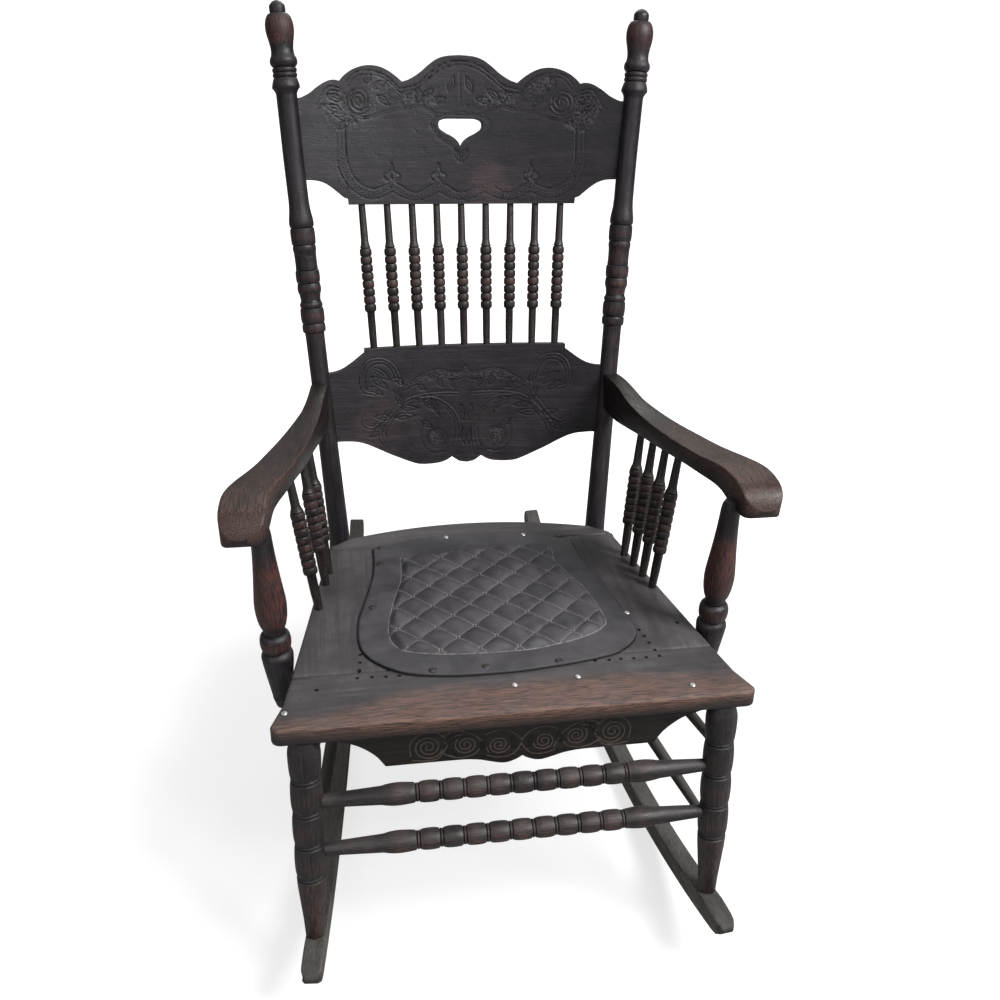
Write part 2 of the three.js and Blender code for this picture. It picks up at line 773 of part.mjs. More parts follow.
/** The right post with its mortises and sockets. */
function backPost() {
  const ends = stretcherEnds();
  const body = join(cut(postBody(0), [runnerSpace()]), rearFootPeg(0));
  return cut(body, [
    railMortise(crestBow, crestEndBottom, crestEndTop, crestPeak),
    railMortise(lowRailBow, lowRailEndBottom, lowRailEndTop, lowRailTop),
    armTenon(fitGap),
    stretcherSocket(ends.sideUpper[1], ends.sideUpper[0], sideEndRadius, rearWall),
    stretcherSocket(ends.sideLower[1], ends.sideLower[0], sideEndRadius, rearWall),
    stretcherSocket(...ends.rear, sideEndRadius, rearWall),
  ]);
}

/** The profile of a front stretcher: barrels between grooves, and tapered ends. */
function frontStretcherProfile(length) {
  const grooveRadiusShare = 0.8;
  const swellShare = 0.5;
  const half = length / 2;
  const first = (-barrelPitch * barrelCount) / 2;
  const start = -half + legWall;
  const profile = [
    [start - stretcherTenonDepth, stretcherEndRadius],
    [start, stretcherEndRadius],
    [first - swellShare * barrelPitch, stretcherRadius],
  ];
  for (let i = 0; i <= barrelCount; i += 1) {
    const groove = first + i * barrelPitch;
    profile.push([groove, grooveRadiusShare * stretcherRadius]);
    if (i < barrelCount) {
      profile.push([groove + barrelPitch / 2, stretcherRadius]);
    }
  }
  profile.push([-first + swellShare * barrelPitch, stretcherRadius]);
  profile.push([-start, stretcherEndRadius]);
  profile.push([-start + stretcherTenonDepth, stretcherEndRadius]);
  return profile.map(([distance, radius]) => [distance + half, radius]);
}

/** A turned front stretcher between two leg axes. */
function frontStretcher(ends) {
  const profile = frontStretcherProfile(ends[0].distanceTo(ends[1]));
  return alongLine(turned(profile, stretcherSides), ends[0], ends[1]);
}

/** A plain stretcher that swells in the middle, between two leg axes. */
function plainStretcher(ends, radius, walls) {
  const length = ends[0].distanceTo(ends[1]);
  const start = walls[0];
  const stop = length - walls[1];
  const profile = [
    [start - stretcherTenonDepth, sideEndRadius],
    [start, sideEndRadius],
    [length / 2, radius],
    [stop, sideEndRadius],
    [stop + stretcherTenonDepth, sideEndRadius],
  ];
  return alongLine(turned(profile, dowelSides), ends[0], ends[1]);
}

// Arm support: shares of its length from the bottom, and of its radius
const supportShares = [
  [0, 0.43], [0.066, 0.64], [0.235, 0.91], [0.34, 0.99], [0.356, 0.77], [0.371, 0.93],
  [0.402, 1], [0.434, 0.93], [0.457, 0.62], [0.488, 0.72], [0.547, 0.9], [0.602, 0.95],
  [0.684, 0.88], [0.781, 0.74], [0.879, 0.6], [0.938, 0.53],
];
const supportFoot = new THREE.Vector3(supportX, supportY, supportBottom);
const supportTop = new THREE.Vector3(supportTopX, supportY, armRearHeight - armNoseDrop);

/** The right arm support, flattened where it lies against the seat's edge. */
function armSupport(seatEdge) {
  const length = supportFoot.distanceTo(supportTop);
  const profile = profileFrom(supportShares, length, supportRadius);
  profile.push([length + supportTenonDepth, supportEndRadius]);
  const body = alongLine(turned(profile, stretcherSides), supportFoot.clone(), supportTop);
  return cut(body, [seatEdge]);
}

/** The socket for the arm support's tenon in the arm. */
function supportSocket() {
  const end = towards(supportTop, supportFoot, -supportTenonDepth - fitGap);
  return bore(towards(supportTop, supportFoot, overrun), end, supportEndRadius);
}

// Arm plan: shares of the rear-to-nose length and of the reach from the rear's inner edge outward
const armInnerShares = [
  [0, 0], [0.127, 0.03], [0.254, 0.085], [0.386, 0.17], [0.541, 0.266], [0.692, 0.395],
  [0.813, 0.52], [0.904, 0.575], [0.972, 0.58],
];
const armNoseShares = [[0.972, 0.58], [0.995, 0.66], [1, 0.8], [0.992, 0.93], [0.96, 1]];
const armOuterShares = [
  [0.96, 1], [0.84, 0.985], [0.741, 0.885], [0.635, 0.74], [0.51, 0.6], [0.389, 0.48],
  [0.272, 0.343], [0.205, 0.275], [0.132, 0.236], [0, 0.2],
];
// Arm side profile: shares of the same length and of the arm's rise from the rear's top face
const armTopShares = [
  [0, 0], [0.132, 0.24], [0.205, 0.18], [0.26, 0.08], [0.386, 0.09], [0.541, 0.33], [0.692, 0.57],
  [0.813, 0.83], [0.891, 0.92], [0.945, 0.83], [0.98, 0.56], [1, 0.24], [0.995, 0],
];
const armUnderShares = [
  [0.97, -0.1], [0.9, -0.1], [0.83, 0.02], [0.627, -0.2], [0.352, -0.76], [0.175, -1.26],
  [0.075, -1.4], [0, -1.29],
];

/** The right arm's blank: a side profile cut out of a plan outline. */
function armBlank() {
  const reach = armOuterHalf - armInnerRear;
  const plan = (shares) =>
    shares.map(([back, out]) => [armInnerRear + out * reach, armRearY - back * armLength]);
  const side = (shares) =>
    shares.map(([back, up]) => [armRearY - back * armLength, armRearHeight + up * armCrown]);
  const planPoints = [
    ...smooth(plan(armInnerShares), boardSteps * 2),
    ...smooth(plan(armNoseShares), boardSteps / 2).slice(1),
    ...smooth(plan(armOuterShares), boardSteps * 2).slice(1),
  ];
  const sidePoints = [
    ...smooth(side(armTopShares), boardSteps * 2),
    ...smooth(side(armUnderShares), boardSteps * 2),
  ];
  const low = armRearHeight - 2 * armCrown - overrun;
  const high = armRearHeight + 2 * armCrown;
  const board = prism(outline(planPoints), low, high);
  const profile = prism(outline(sidePoints), armInnerRear - overrun, armOuterHalf + overrun);
  profile.rotateX(Math.PI / 2).rotateZ(Math.PI / 2);
  return common(board, profile);
}

/** The tenon from an arm's rear end into the post, grown by a clearance. */
function armTenon(clearance) {
  const height = armRearHeight - armCrown / 2;
  const axis = atHeight(knee, postTip, height);
  const start = new THREE.Vector3(axis.x, axis.y - postRadius * 2, height);
  const end = new THREE.Vector3(axis.x, axis.y - railShoulderRadius + armTenonDepth + clearance, height);
  return bar(start, end, armTenonRadius + clearance, dowelSides);
}

/** The right arm. */
function arm() {
  const saddled = cut(armBlank(), [postBody(fitGap)]);
  const sockets = [supportSocket()];
  for (let i = 0; i < armSpindleCount; i += 1) {
    const [foot, top] = armSpindleEnds(i);
    sockets.push(spindleSocket(top, foot));
  }
  return cut(join(saddled, armTenon(0)), sockets);
}

/** The height of the arm's underside at a place along it. */
function armUnderAt(y) {
  const side = armUnderShares.map(([back, up]) => [
    armRearY - back * armLength, armRearHeight + up * armCrown,
  ]);
  const points = smooth(side, boardSteps * 2);
  for (let i = 1; i < points.length; i += 1) {
    const [y0, z0] = points[i - 1];
    const [y1, z1] = points[i];
    if (y >= y0 && y <= y1) {
      return THREE.MathUtils.lerp(z0, z1, (y - y0) / (y1 - y0));
    }
  }
  return points[0][1];
}

/** The middle of the arm across the chair at a place along it. */
function armMiddleAt(y) {
  const back = (armRearY - y) / armLength;
  const at = (shares) => {
    const sorted = [...shares].sort((a, b) => a[0] - b[0]);
    const next = sorted.findIndex(([place]) => place >= back);
    const [p0, v0] = sorted[next - 1];
    const [p1, v1] = sorted[next];
    return THREE.MathUtils.lerp(v0, v1, (back - p0) / (p1 - p0));
  };
  const out = (at(armInnerShares) + at(armOuterShares)) / 2;
  return armInnerRear + out * (armOuterHalf - armInnerRear);
}

/** Where an arm spindle meets the seat and the arm, counted from the front. */
function armSpindleEnds(index) {
  const back = armSpindlePlace + index * armSpindlePitch;
  const across = seatHalfAt(back) - armSpindleEdge;
  const foot = onSeat(across, back, 0);
  const topY = foot.y + armSpindleReach;
  return [foot, new THREE.Vector3(armMiddleAt(topY), topY, armUnderAt(topY))];
}

/** Half the seat's width at a place back from its front edge. */
function seatHalfAt(back) {
  return THREE.MathUtils.lerp(seatFrontHalf, seatRearHalf, back / seatSideDepth);
}

/** A flat piece of the seat frame from its outline. */
function seatBoard(points) {
  return prism(outline(points), -seatThickness, 0);
}

/** Half the width of the opening in the seat frame at a place back from the front edge. */
function openingHalfAt(back) {
  return seatHalfAt(back) - sideRailWidth;
}

/** Cane holes at places in the seat frame. */
function caneHoles(places) {
  return places.map(([across, back]) => {
    const top = new THREE.Vector3(across, back, overrun);
    const bottom = new THREE.Vector3(across, back, -seatThickness - overrun);
    return bar(bottom, top, caneHoleRadius, caneHoleSides);
  });
}

/** The front rail of the seat, with its rounded front corners and the front row of cane holes. */
function seatFrontRail() {
  const half = seatHalfAt(frontRailWidth);
  const corner = seatCornerRadius;
  const nipped = corner * cornerCutShare;
  const points = [
    [-seatFrontHalf + corner, 0], [seatFrontHalf - corner, 0],
    [seatFrontHalf - nipped, nipped], [seatHalfAt(corner), corner],
    [half, frontRailWidth], [-half, frontRailWidth],
    [-seatHalfAt(corner), corner], [-seatFrontHalf + nipped, nipped],
  ];
  const places = [];
  for (let i = 0; i < caneFrontCount; i += 1) {
    const across = caneRowHalf - i * caneFrontPitch;
    places.push([across, caneRowDepth], [-across, caneRowDepth]);
  }
  const board = cut(seatBoard(points), caneHoles(places)).applyMatrix4(seatFrame);
  return cut(board, [legTenon(fitGap), mirrored(legTenon(fitGap))]);
}

/** The right side rail of the seat, with its cane holes and its arm spindle sockets. */
function seatSideRail() {
  const front = frontRailWidth + fitGap;
  const rear = backRailPlace;
  const points = [
    [openingHalfAt(front) - openingCorner, front], [seatHalfAt(front), front],
    [seatHalfAt(rear), rear], [openingHalfAt(rear), rear],
    [openingHalfAt(front + openingCorner), front + openingCorner],
  ];
  const places = [];
  for (const count of caneSideCounts) {
    const back = caneSidePitch * count;
    const place = caneRowDepth + back;
    if (place > front + caneHoleRadius + overrun) {
      places.push([caneRowHalf - caneSideTaperShare * back, place]);
    }
  }
  const board = cut(seatBoard(points), caneHoles(places)).applyMatrix4(seatFrame);
  const sockets = [postBody(fitGap)];
  for (let i = 0; i < armSpindleCount; i += 1) {
    const [foot, top] = armSpindleEnds(i);
    sockets.push(spindleSocket(foot, top));
  }
  return cut(board, sockets);
}

/** The back rail of the seat: a bowed rear edge, clipped corners, and notches for the posts. */
function seatBackRail() {
  const front = backRailPlace + fitGap;
  const edge = [];
  for (let i = -boardSteps / 2; i <= boardSteps / 2; i += 1) {
    const share = i / (boardSteps / 2);
    edge.push([share * seatClipHalf, seatDepth - seatRearBow * share ** 2]);
  }
  const points = [
    [-seatHalfAt(front), front], [seatHalfAt(front), front], [seatRearHalf, seatSideDepth],
    ...edge.reverse(), [-seatRearHalf, seatSideDepth],
  ];
  const board = seatBoard(points).applyMatrix4(seatFrame);
  return cut(board, [postBody(fitGap), mirrored(postBody(fitGap))]);
}

/** The edge of the seat with a clearance, which flattens the arm support. */
function seatEdgeSpace() {
  const shape = new THREE.Shape([
    new THREE.Vector2(0, 0),
    new THREE.Vector2(seatFrontHalf + fitGap, 0),
    new THREE.Vector2(seatRearHalf + fitGap, seatSideDepth),
    new THREE.Vector2(0, seatSideDepth),
  ]);
  return prism(shape, -seatThickness - fitGap, fitGap).applyMatrix4(seatFrame);
}

// Panel outline: shares of its half width and of its depth from its front edge
const panelSideShares = [
  [-0.849, 0.913], [-0.85, 0.76], [-0.898, 0.607], [-0.969, 0.467], [-1.006, 0.337], [-0.999, 0.224],
  [-0.937, 0.137], [-0.812, 0.061], [-0.62, 0.023], [-0.359, 0.004], [0.041, 0], [0.39, 0.024],
  [0.68, 0.05], [0.849, 0.094], [0.948, 0.162], [0.977, 0.225], [0.956, 0.338], [0.92, 0.44],
  [0.855, 0.53], [0.8, 0.65], [0.78, 0.763], [0.79, 0.927],
];
const panelRearShares = [[0.79, 0.927], [0.38, 0.985], [-0.03, 1], [-0.44, 0.98], [-0.849, 0.913]];

/** The outline of the seat panel's sheet. */
function panelShape() {
  const place = (shares) =>
    shares.map(([x, y]) => [x * panelHalf, panelFront + y * panelDepth]);
  const points = [
    ...smooth(place(panelSideShares), boardSteps * 3),
    ...smooth(place(panelRearShares), boardSteps / 2).slice(1, -1),
  ];
  return outline(points);
}

// Quilted field outline: shares of its half width and of its depth from its front edge
const quiltShares = [
  [-0.8, 0.985], [-0.825, 0.742], [-0.912, 0.535], [-0.985, 0.35], [-0.999, 0.205], [-0.95, 0.1],
  [-0.855, 0.064], [-0.6, 0.02], [-0.28, 0], [0.17, 0.002], [0.5, 0.03], [0.77, 0.083], [0.93, 0.13],
  [1, 0.205], [0.985, 0.35], [0.9, 0.653], [0.745, 1.02],
];

/** The outline of the quilted field. */
function quiltShape() {
  const places = quiltShares.map(([x, y]) => [x * quiltHalf, quiltFront + y * quiltDepth]);
  return outline(smooth(places, boardSteps * 3));
}

/** The height of the quilting above the sheet: pillows between rows of sewn tufts. */
function quiltHeightAt(across, back) {
  const first = across / tuftPitch;
  const second = (back - tuftRowPlace) / tuftRowPitch / 2;
  const one = Math.abs(Math.sin(Math.PI * (first + second)));
  const two = Math.abs(Math.sin(Math.PI * (first - second)));
  return quiltEdgeHeight + (quiltHeight - quiltEdgeHeight) * Math.sqrt(one * two);
}

/** The quilted field as a closed block with a pillowed top. */
function quiltBlock() {
  const stepX = tuftPitch / quiltSteps;
  const stepY = (tuftRowPitch * 2) / quiltSteps;
  const columns = 2 * Math.ceil(quiltHalf / stepX) + 2;
  const rows = Math.ceil(quiltDepth / stepY) + 2;
  const top = new THREE.BoxGeometry(1, 1, 1, columns, rows, 1);
  const place = top.attributes.position;
  for (let i = 0; i < place.count; i += 1) {
    const across = place.getX(i) * columns * stepX;
    const back = tuftRowPlace + (place.getY(i) + 0.5) * rows * stepY - stepY * quiltSteps;
    const up = place.getZ(i) > 0 ? panelSheet + quiltHeightAt(across, back) : panelSheet / 2;
    place.setXYZ(i, across, back, up + fitGap);
  }
  return top;
}

/** The seat panel: its sheet and its quilted field, resting on the seat frame. */
function seatPanel() {
  const sheet = prism(panelShape(), fitGap, panelSheet + fitGap);
  const field = common(quiltBlock(), prism(quiltShape(), 0, panelSheet + quiltHeight + overrun));
  return join(sheet, field).applyMatrix4(seatFrame);
}

// Tack heads on the panel: shares of its half width and depth
const panelTackShares = [
  [-0.785, 0.908], [-0.8, 0.774], [-0.227, 0.968], [0.432, 0.953], [0.733, 0.923], [-0.888, 0.452],
  [0.969, 0.3], [-0.524, 0.036], [-0.167, 0.036], [0.34, 0.036],
];
// Nail heads on the seat frame: shares of its half width there and of its side's depth
const frameNailShares = [[0.288, 0.132], [-0.003, 0.117], [-0.983, 0.072], [0.766, 0.052]];

/** A domed tack or nail head standing on the seat at a level above its top face. */
function tackHead(across, back, level) {
  const domeShares = [[0, 1], [0.5, 0.85], [1, 0.35]];
  const head = turned(profileFrom(domeShares, tackHeight, tackRadius), tackSides);
  const foot = onSeat(across, back, level + fitGap);
  const top = onSeat(across, back, level + fitGap + tackHeight);
  return alongLine(head, foot, top);
}

// Apron: shares of its bottom half width, and of the way from its ends' drop to its lobes' drop
const apronUnderShares = [[0.1, 0.9], [0.16, 0.95], [0.24, 0.6], [0.32, 0.25], [0.42, 0.08]];
const apronEndShares = [[0, 0], [0.04, 0.07], [0.18, 0.25], [0.39, 0.43], [0.64, 0.57], [1, 0.67]];
const apronNotchShare = 0.15;

/** The apron's board under the front rail. */
function apron() {
  const lobes = apronLobeDrop - apronDrop;
  const under = apronUnderShares.map(([x, y]) => [x * apronBottomHalf, -apronDrop - y * lobes]);
  const top = -seatThickness - fitGap;
  const ends = apronEndShares.map(([x, y]) => [
    apronBottomHalf + x * apronFlare, -apronDrop + y * (apronDrop + top),
  ]);
  const half = [
    [0, -apronDrop - lobes * apronNotchShare],
    ...smooth(under, boardSteps / 2),
    ...smooth(ends, boardSteps / 2),
    [apronTopHalf, top],
    [0, top],
  ];
  const board = prism(symmetricShape(half), 0, apronThickness);
  board.rotateX(Math.PI / 2).translate(apronShift, apronPlace + apronThickness, 0);
  return board.applyMatrix4(seatFrame);
}

/** The right runner, with its pegs' sockets. */
function runner() {
  return cut(runnerBoard(0), [frontFootPeg(fitGap), rearFootPeg(fitGap)]);
}

const rocker = new THREE.Group();
const back = new THREE.Group();
const seating = new THREE.Group();
const base = new THREE.Group();
rocker.add(back, seating, base);

/** Adds a named piece to a group. */
function add(group, name, geometry, material) {
  const mesh = new THREE.Mesh(geometry, material);
  mesh.name = name;
  group.add(mesh);
}

/** Adds a right-hand piece and its mirror image. */
function addPair(group, name, geometry, material) {
  add(group, `${name}_right`, geometry, material);
  add(group, `${name}_left`, mirrored(geometry), material);
}

const spindleEnds = [];
for (let i = 0; i < spindleCount; i += 1) {
  spindleEnds.push(backSpindleEnds(i));
}
const crestBoard = bentRail(crestShape(), crestBow, crestBottom, crestPeak);
const handHole = prism(handHoleShape(), -crestBow - railThickness - overrun, railThickness);
const crestCut = cut(crestBoard, [handHole]).applyMatrix4(backFrame);
const crestSockets = spindleEnds.map(([foot, top]) => spindleSocket(top, foot));
add(back, "crest_rail", cut(crestCut, crestSockets), finishes.back);
const lowBoard = bentRail(lowRailShape(), lowRailBow, lowRailBottom, lowRailTop);
const lowSockets = spindleEnds.map(([foot, top]) => spindleSocket(foot, top));
add(back, "lower_back_rail", cut(lowBoard.applyMatrix4(backFrame), lowSockets), finishes.back);
spindleEnds.forEach(([foot, top], i) => {
  add(back, `back_spindle_${i + 1}`, spindle(foot, top, spindleRadius), finishes.post);
});
addPair(back, "back_post", backPost(), finishes.post);

addPair(seating, "arm", arm(), finishes.arm);
addPair(seating, "arm_support", armSupport(seatEdgeSpace()), finishes.post);
const leftSpindleCounts = [1, 3, 4];
for (let i = 0; i < armSpindleCount; i += 1) {
  const geometry = spindle(...armSpindleEnds(i), armSpindleRadius);
  add(seating, `arm_spindle_right_${i + 1}`, geometry, finishes.post);
  if (leftSpindleCounts.includes(i + 1)) {
    add(seating, `arm_spindle_left_${i + 1}`, mirrored(geometry), finishes.post);
  }
}
add(seating, "seat_front_rail", seatFrontRail(), finishes.seatFront);
add(seating, "seat_back_rail", seatBackRail(), finishes.seat);
addPair(seating, "seat_side_rail", seatSideRail(), finishes.seat);
add(seating, "seat_panel", seatPanel(), finishes.panel);
panelTackShares.forEach(([across, back], i) => {
  const head = tackHead(across * panelHalf, panelFront + back * panelDepth, panelSheet + fitGap);
  add(seating, `panel_tack_${i + 1}`, head, finishes.tack);
});
frameNailShares.forEach(([across, back], i) => {
  const place = back * seatSideDepth;
  const head = tackHead(across * seatHalfAt(place), place, 0);
  add(seating, `seat_nail_${i + 1}`, head, finishes.tack);
});
add(seating, "apron", apron(), finishes.back);

const ends = stretcherEnds();
addPair(base, "front_leg", frontLeg(), finishes.leg);
addPair(base, "runner", runner(), finishes.runner);
add(base, "front_stretcher_upper", frontStretcher(ends.frontUpper), finishes.leg);
add(base, "front_stretcher_lower", frontStretcher(ends.frontLower), finishes.leg);
const sideWalls = [legWall, rearWall];
const upperSide = plainStretcher(ends.sideUpper, sideStretcherRadius, sideWalls);
const lowerSide = plainStretcher(ends.sideLower, sideStretcherRadius, sideWalls);
addPair(base, "side_stretcher_upper", upperSide, finishes.leg);
addPair(base, "side_stretcher_lower", lowerSide, finishes.leg);
const rearWalls = [rearWall, rearWall];
add(base, "rear_stretcher", plainStretcher(ends.rear, rearStretcherRadius, rearWalls), finishes.leg);

// The origin is the middle of the chair's footprint box, on the floor
const footprint = new THREE.Box3().setFromObject(rocker);
rocker.position.y = -(footprint.min.y + footprint.max.y) / 2;
rocker.position.z = -footprint.min.z;

export default rocker;
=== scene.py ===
"""An antique pressed-back arm rocking chair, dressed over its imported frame.

Turned posts carry a bent crest rail and a bent lower back rail with pressed scrolls, and beaded
spindles stand between them. Sawn arms on turned supports, a framed seat with cane holes under a
quilted leather panel, turned legs and stretchers, and two bow runners complete it.
"""
import logging
import math
from collections.abc import Callable, Iterator, Sequence
from contextlib import contextmanager
from dataclasses import dataclass, field
from enum import Enum

import bpy
import numpy as np
from mathutils import Matrix, Vector
from mathutils.kdtree import KDTree


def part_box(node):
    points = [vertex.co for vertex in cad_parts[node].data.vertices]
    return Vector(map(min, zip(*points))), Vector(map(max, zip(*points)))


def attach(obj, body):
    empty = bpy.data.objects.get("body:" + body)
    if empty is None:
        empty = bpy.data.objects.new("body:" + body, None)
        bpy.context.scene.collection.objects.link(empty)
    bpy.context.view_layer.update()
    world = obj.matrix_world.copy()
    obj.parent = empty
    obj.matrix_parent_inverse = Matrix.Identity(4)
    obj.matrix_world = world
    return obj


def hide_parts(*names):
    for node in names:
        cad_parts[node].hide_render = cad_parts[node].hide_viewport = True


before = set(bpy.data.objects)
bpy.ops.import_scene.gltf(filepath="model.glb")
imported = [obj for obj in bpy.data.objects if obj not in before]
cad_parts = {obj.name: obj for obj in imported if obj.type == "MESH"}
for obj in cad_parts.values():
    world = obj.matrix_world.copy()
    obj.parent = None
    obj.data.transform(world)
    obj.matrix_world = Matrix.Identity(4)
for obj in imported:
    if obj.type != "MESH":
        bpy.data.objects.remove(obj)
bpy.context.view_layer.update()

log = logging.getLogger("rocking_chair")

MM = 0.001
BODY = "root"
Place = tuple[float, float]
Places = Sequence[Place]
Colour = tuple[float, float, float]
Piece = bpy.types.Object
Socket = bpy.types.NodeSocket


class Side(Enum):
    """A side of the chair, as the sign of its places along X."""

    RIGHT = 1
    LEFT = -1

    @property
    def word(self) -> str:
        """The side's name at the end of a piece's name."""
        return self.name.lower()


@dataclass(frozen=True)
class Chair:
    """The chair's driving sizes in millimetres, in its own frame: +Z up, facing -Y."""

    seat_front_y: float = -230.0
    seat_front_height: float = 372.8
    seat_slope: float = math.radians(7.2)
    seat_thickness: float = 22.0
    seat_front_half: float = 265.0
    seat_rear_half: float = 206.8
    seat_side_depth: float = 411.0
    knee_x: float = 192.0
    knee_y: float = 210.5
    splay_out: float = 44.4
    recline_back: float = 189.3
    rise_up: float = 683.3
    runner_x: float = 213.7
    runner_converge: float = 0.095
    runner_radius: float = 1124.4
    runner_depth: float = 28.4
    runner_low_y: float = 68.0
    rear_foot_y: float = 190.0

    @property
    def shift(self) -> Vector:
        """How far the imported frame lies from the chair's own, from the front rail's box."""
        low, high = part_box("seat_front_rail")
        front = self.seat_front_y - self.seat_thickness * math.sin(self.seat_slope)
        return Vector((0.0, low.y / MM - front, high.z / MM - self.seat_front_height))

    @property
    def knee(self) -> Vector:
        """The right post's knee, level with the seat."""
        back = self.knee_y - self.seat_front_y
        return Vector((self.knee_x, self.knee_y, self.on_seat(0.0, back, 0.0).z))

    @property
    def rear_foot(self) -> Vector:
        """Where the right rear leg stands on its runner."""
        y = self.rear_foot_y
        return Vector((self.runner_x_at(y), y, self.runner_top_at(y)))

    @property
    def post_rise(self) -> Vector:
        """The right upper post's direction."""
        return Vector((self.splay_out, self.recline_back, self.rise_up)).normalized()

    @property
    def seat_matrix(self) -> Matrix:
        """The seat's frame: across, back along its top face, and up out of it."""
        place = Matrix.Translation((0.0, self.seat_front_y, self.seat_front_height))
        return place @ Matrix.Rotation(-self.seat_slope, 4, "X")

    @property
    def back_matrix(self) -> Matrix:
        """The back's frame: across, up along the recline, and forward out of the back."""
        recline = math.atan2(self.recline_back, self.rise_up)
        place = Matrix.Translation((0.0, self.knee.y, self.knee.z))
        return place @ Matrix.Rotation(math.pi / 2 - recline, 4, "X")

    def on_seat(self, across: float, back: float, up: float) -> Vector:
        """A place in the seat's frame as a place in the chair."""
        return self.seat_matrix @ Vector((across, back, up))

    def on_back(self, across: float, up: float, forward: float) -> Vector:
        """A place in the back's frame as a place in the chair."""
        return self.back_matrix @ Vector((across, up, forward))

    def seat_half_at(self, back: float) -> float:
        """Half the seat's width at a place back from its front edge."""
        share = back / self.seat_side_depth
        return self.seat_front_half + (self.seat_rear_half - self.seat_front_half) * share

    def post_half_at(self, up: float) -> float:
        """Half the distance between the post axes at a place up the back."""
        return self.knee_x + up * self.splay_out / math.hypot(self.recline_back, self.rise_up)

    def runner_x_at(self, y: float) -> float:
        """The right runner's middle line, across the chair, at a place along it."""
        return self.runner_x - self.runner_converge * y

    def runner_height(self, y: float, radius: float) -> float:
        """The height of the runner's arc of a radius at a place along it."""
        along = (y - self.runner_low_y) * math.hypot(1.0, self.runner_converge)
        return self.runner_radius - math.sqrt(radius**2 - along**2)

    def runner_top_at(self, y: float) -> float:
        """The height of the runner's top face at a place along it."""
        return self.runner_height(y, self.runner_radius - self.runner_depth)


CHAIR = Chair()
SHIFT = CHAIR.shift


def row(place: Vector) -> Vector:
    """A place in the chair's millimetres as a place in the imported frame's metres."""
    return (place + SHIFT) * MM


def row_matrix(matrix: Matrix) -> Matrix:
    """A chair frame's matrix for meshes that are already in metres."""
    placed = matrix.copy()
    placed.translation = row(matrix.translation)
    return placed


def curve_through(places: Places, steps: int) -> np.ndarray:
    """Points on a smooth curve through a few places.

    Args:
        places: The places that the curve passes.
        steps: How many points to give for each stretch between two places.

    Returns:
        An array of points, one row each.
    """
    points = np.array(places, float)
    ends = [2 * points[0] - points[1], *points, 2 * points[-1] - points[-2]]
    out = []
    for before, start, end, after in zip(ends, ends[1:], ends[2:], ends[3:]):
        for t in np.linspace(0.0, 1.0, steps, endpoint=False):
            linear = (end - before) * t
            square = (2 * before - 5 * start + 4 * end - after) * t**2
            cube = (3 * start - 3 * end + after - before) * t**3
            out.append(start + (linear + square + cube) / 2)
    out.append(points[-1])
    return np.array(out)


def rise_between(low: float, high: float, values: np.ndarray) -> np.ndarray:
    """A smooth step from 0 at the low value to 1 at the high one."""
    share = np.clip((values - low) / (high - low), 0.0, 1.0)
    return share * share * (3.0 - 2.0 * share)


def clear_selection() -> None:
    """Leaves object mode with nothing selected."""
    if bpy.context.mode != "OBJECT":
        bpy.ops.object.mode_set(mode="OBJECT")
    bpy.ops.object.select_all(action="DESELECT")


def named(name: str) -> Piece:
    """The piece that was just made, under its name."""
    piece = bpy.context.active_object
    piece.name = name
    piece.data.name = name
    return piece


@contextmanager
def editing(kind: str | None = None, action: str | None = "SELECT") -> Iterator[None]:
    """Edit mode on the active piece, and object mode again after it.

    Args:
        kind: What gets selected, EDGE or FACE; as before if None.
        action: SELECT or DESELECT for all of it; what was selected stays so if None.
    """
    bpy.ops.object.mode_set(mode="EDIT")
    if kind is not None:
        bpy.ops.mesh.select_mode(type=kind)
    if action is not None:
        bpy.ops.mesh.select_all(action=action)
    yield
    bpy.ops.object.mode_set(mode="OBJECT")


def make_active(piece: Piece) -> None:
    """Selects one piece alone and makes it the active one."""
    clear_selection()
    piece.select_set(True)
    bpy.context.view_layer.objects.active = piece


def apply_place(piece: Piece, matrix: Matrix) -> None:
    """Moves a piece by a matrix and writes its place into its mesh."""
    make_active(piece)
    piece.matrix_world = matrix @ piece.matrix_world
    bpy.ops.object.transform_apply(location=True, rotation=True, scale=True)


def apply_modifier(piece: Piece, kind: str, **settings: object) -> None:
    """Adds one modifier to a piece and applies it."""
    make_active(piece)
    modifier = piece.modifiers.new(kind.title(), kind)
    for name, value in settings.items():
        setattr(modifier, name, value)
    bpy.ops.object.modifier_apply(modifier=modifier.name)


def recalculate(piece: Piece) -> None:
    """Turns every face of a closed piece outwards."""
    make_active(piece)
    with editing():
        bpy.ops.mesh.normals_make_consistent(inside=False)


def points_of(piece: Piece) -> np.ndarray:
    """The piece's vertices as an array, one row each, in metres."""
    out = np.zeros(len(piece.data.vertices) * 3)
    piece.data.vertices.foreach_get("co", out)
    return out.reshape(-1, 3)


def set_points(piece: Piece, points: np.ndarray) -> None:
    """Moves the piece's vertices to an array of places in metres."""
    piece.data.vertices.foreach_set("co", points.ravel())
    piece.data.update()


def store(piece: Piece, name: str, values: np.ndarray) -> None:
    """Stores a number or a vector on every vertex, for the materials to read."""
    vector = values.ndim == 2
    kind = "FLOAT_VECTOR" if vector else "FLOAT"
    attribute = piece.data.attributes.new(name, kind, "POINT")
    attribute.data.foreach_set("vector" if vector else "value", values.ravel())


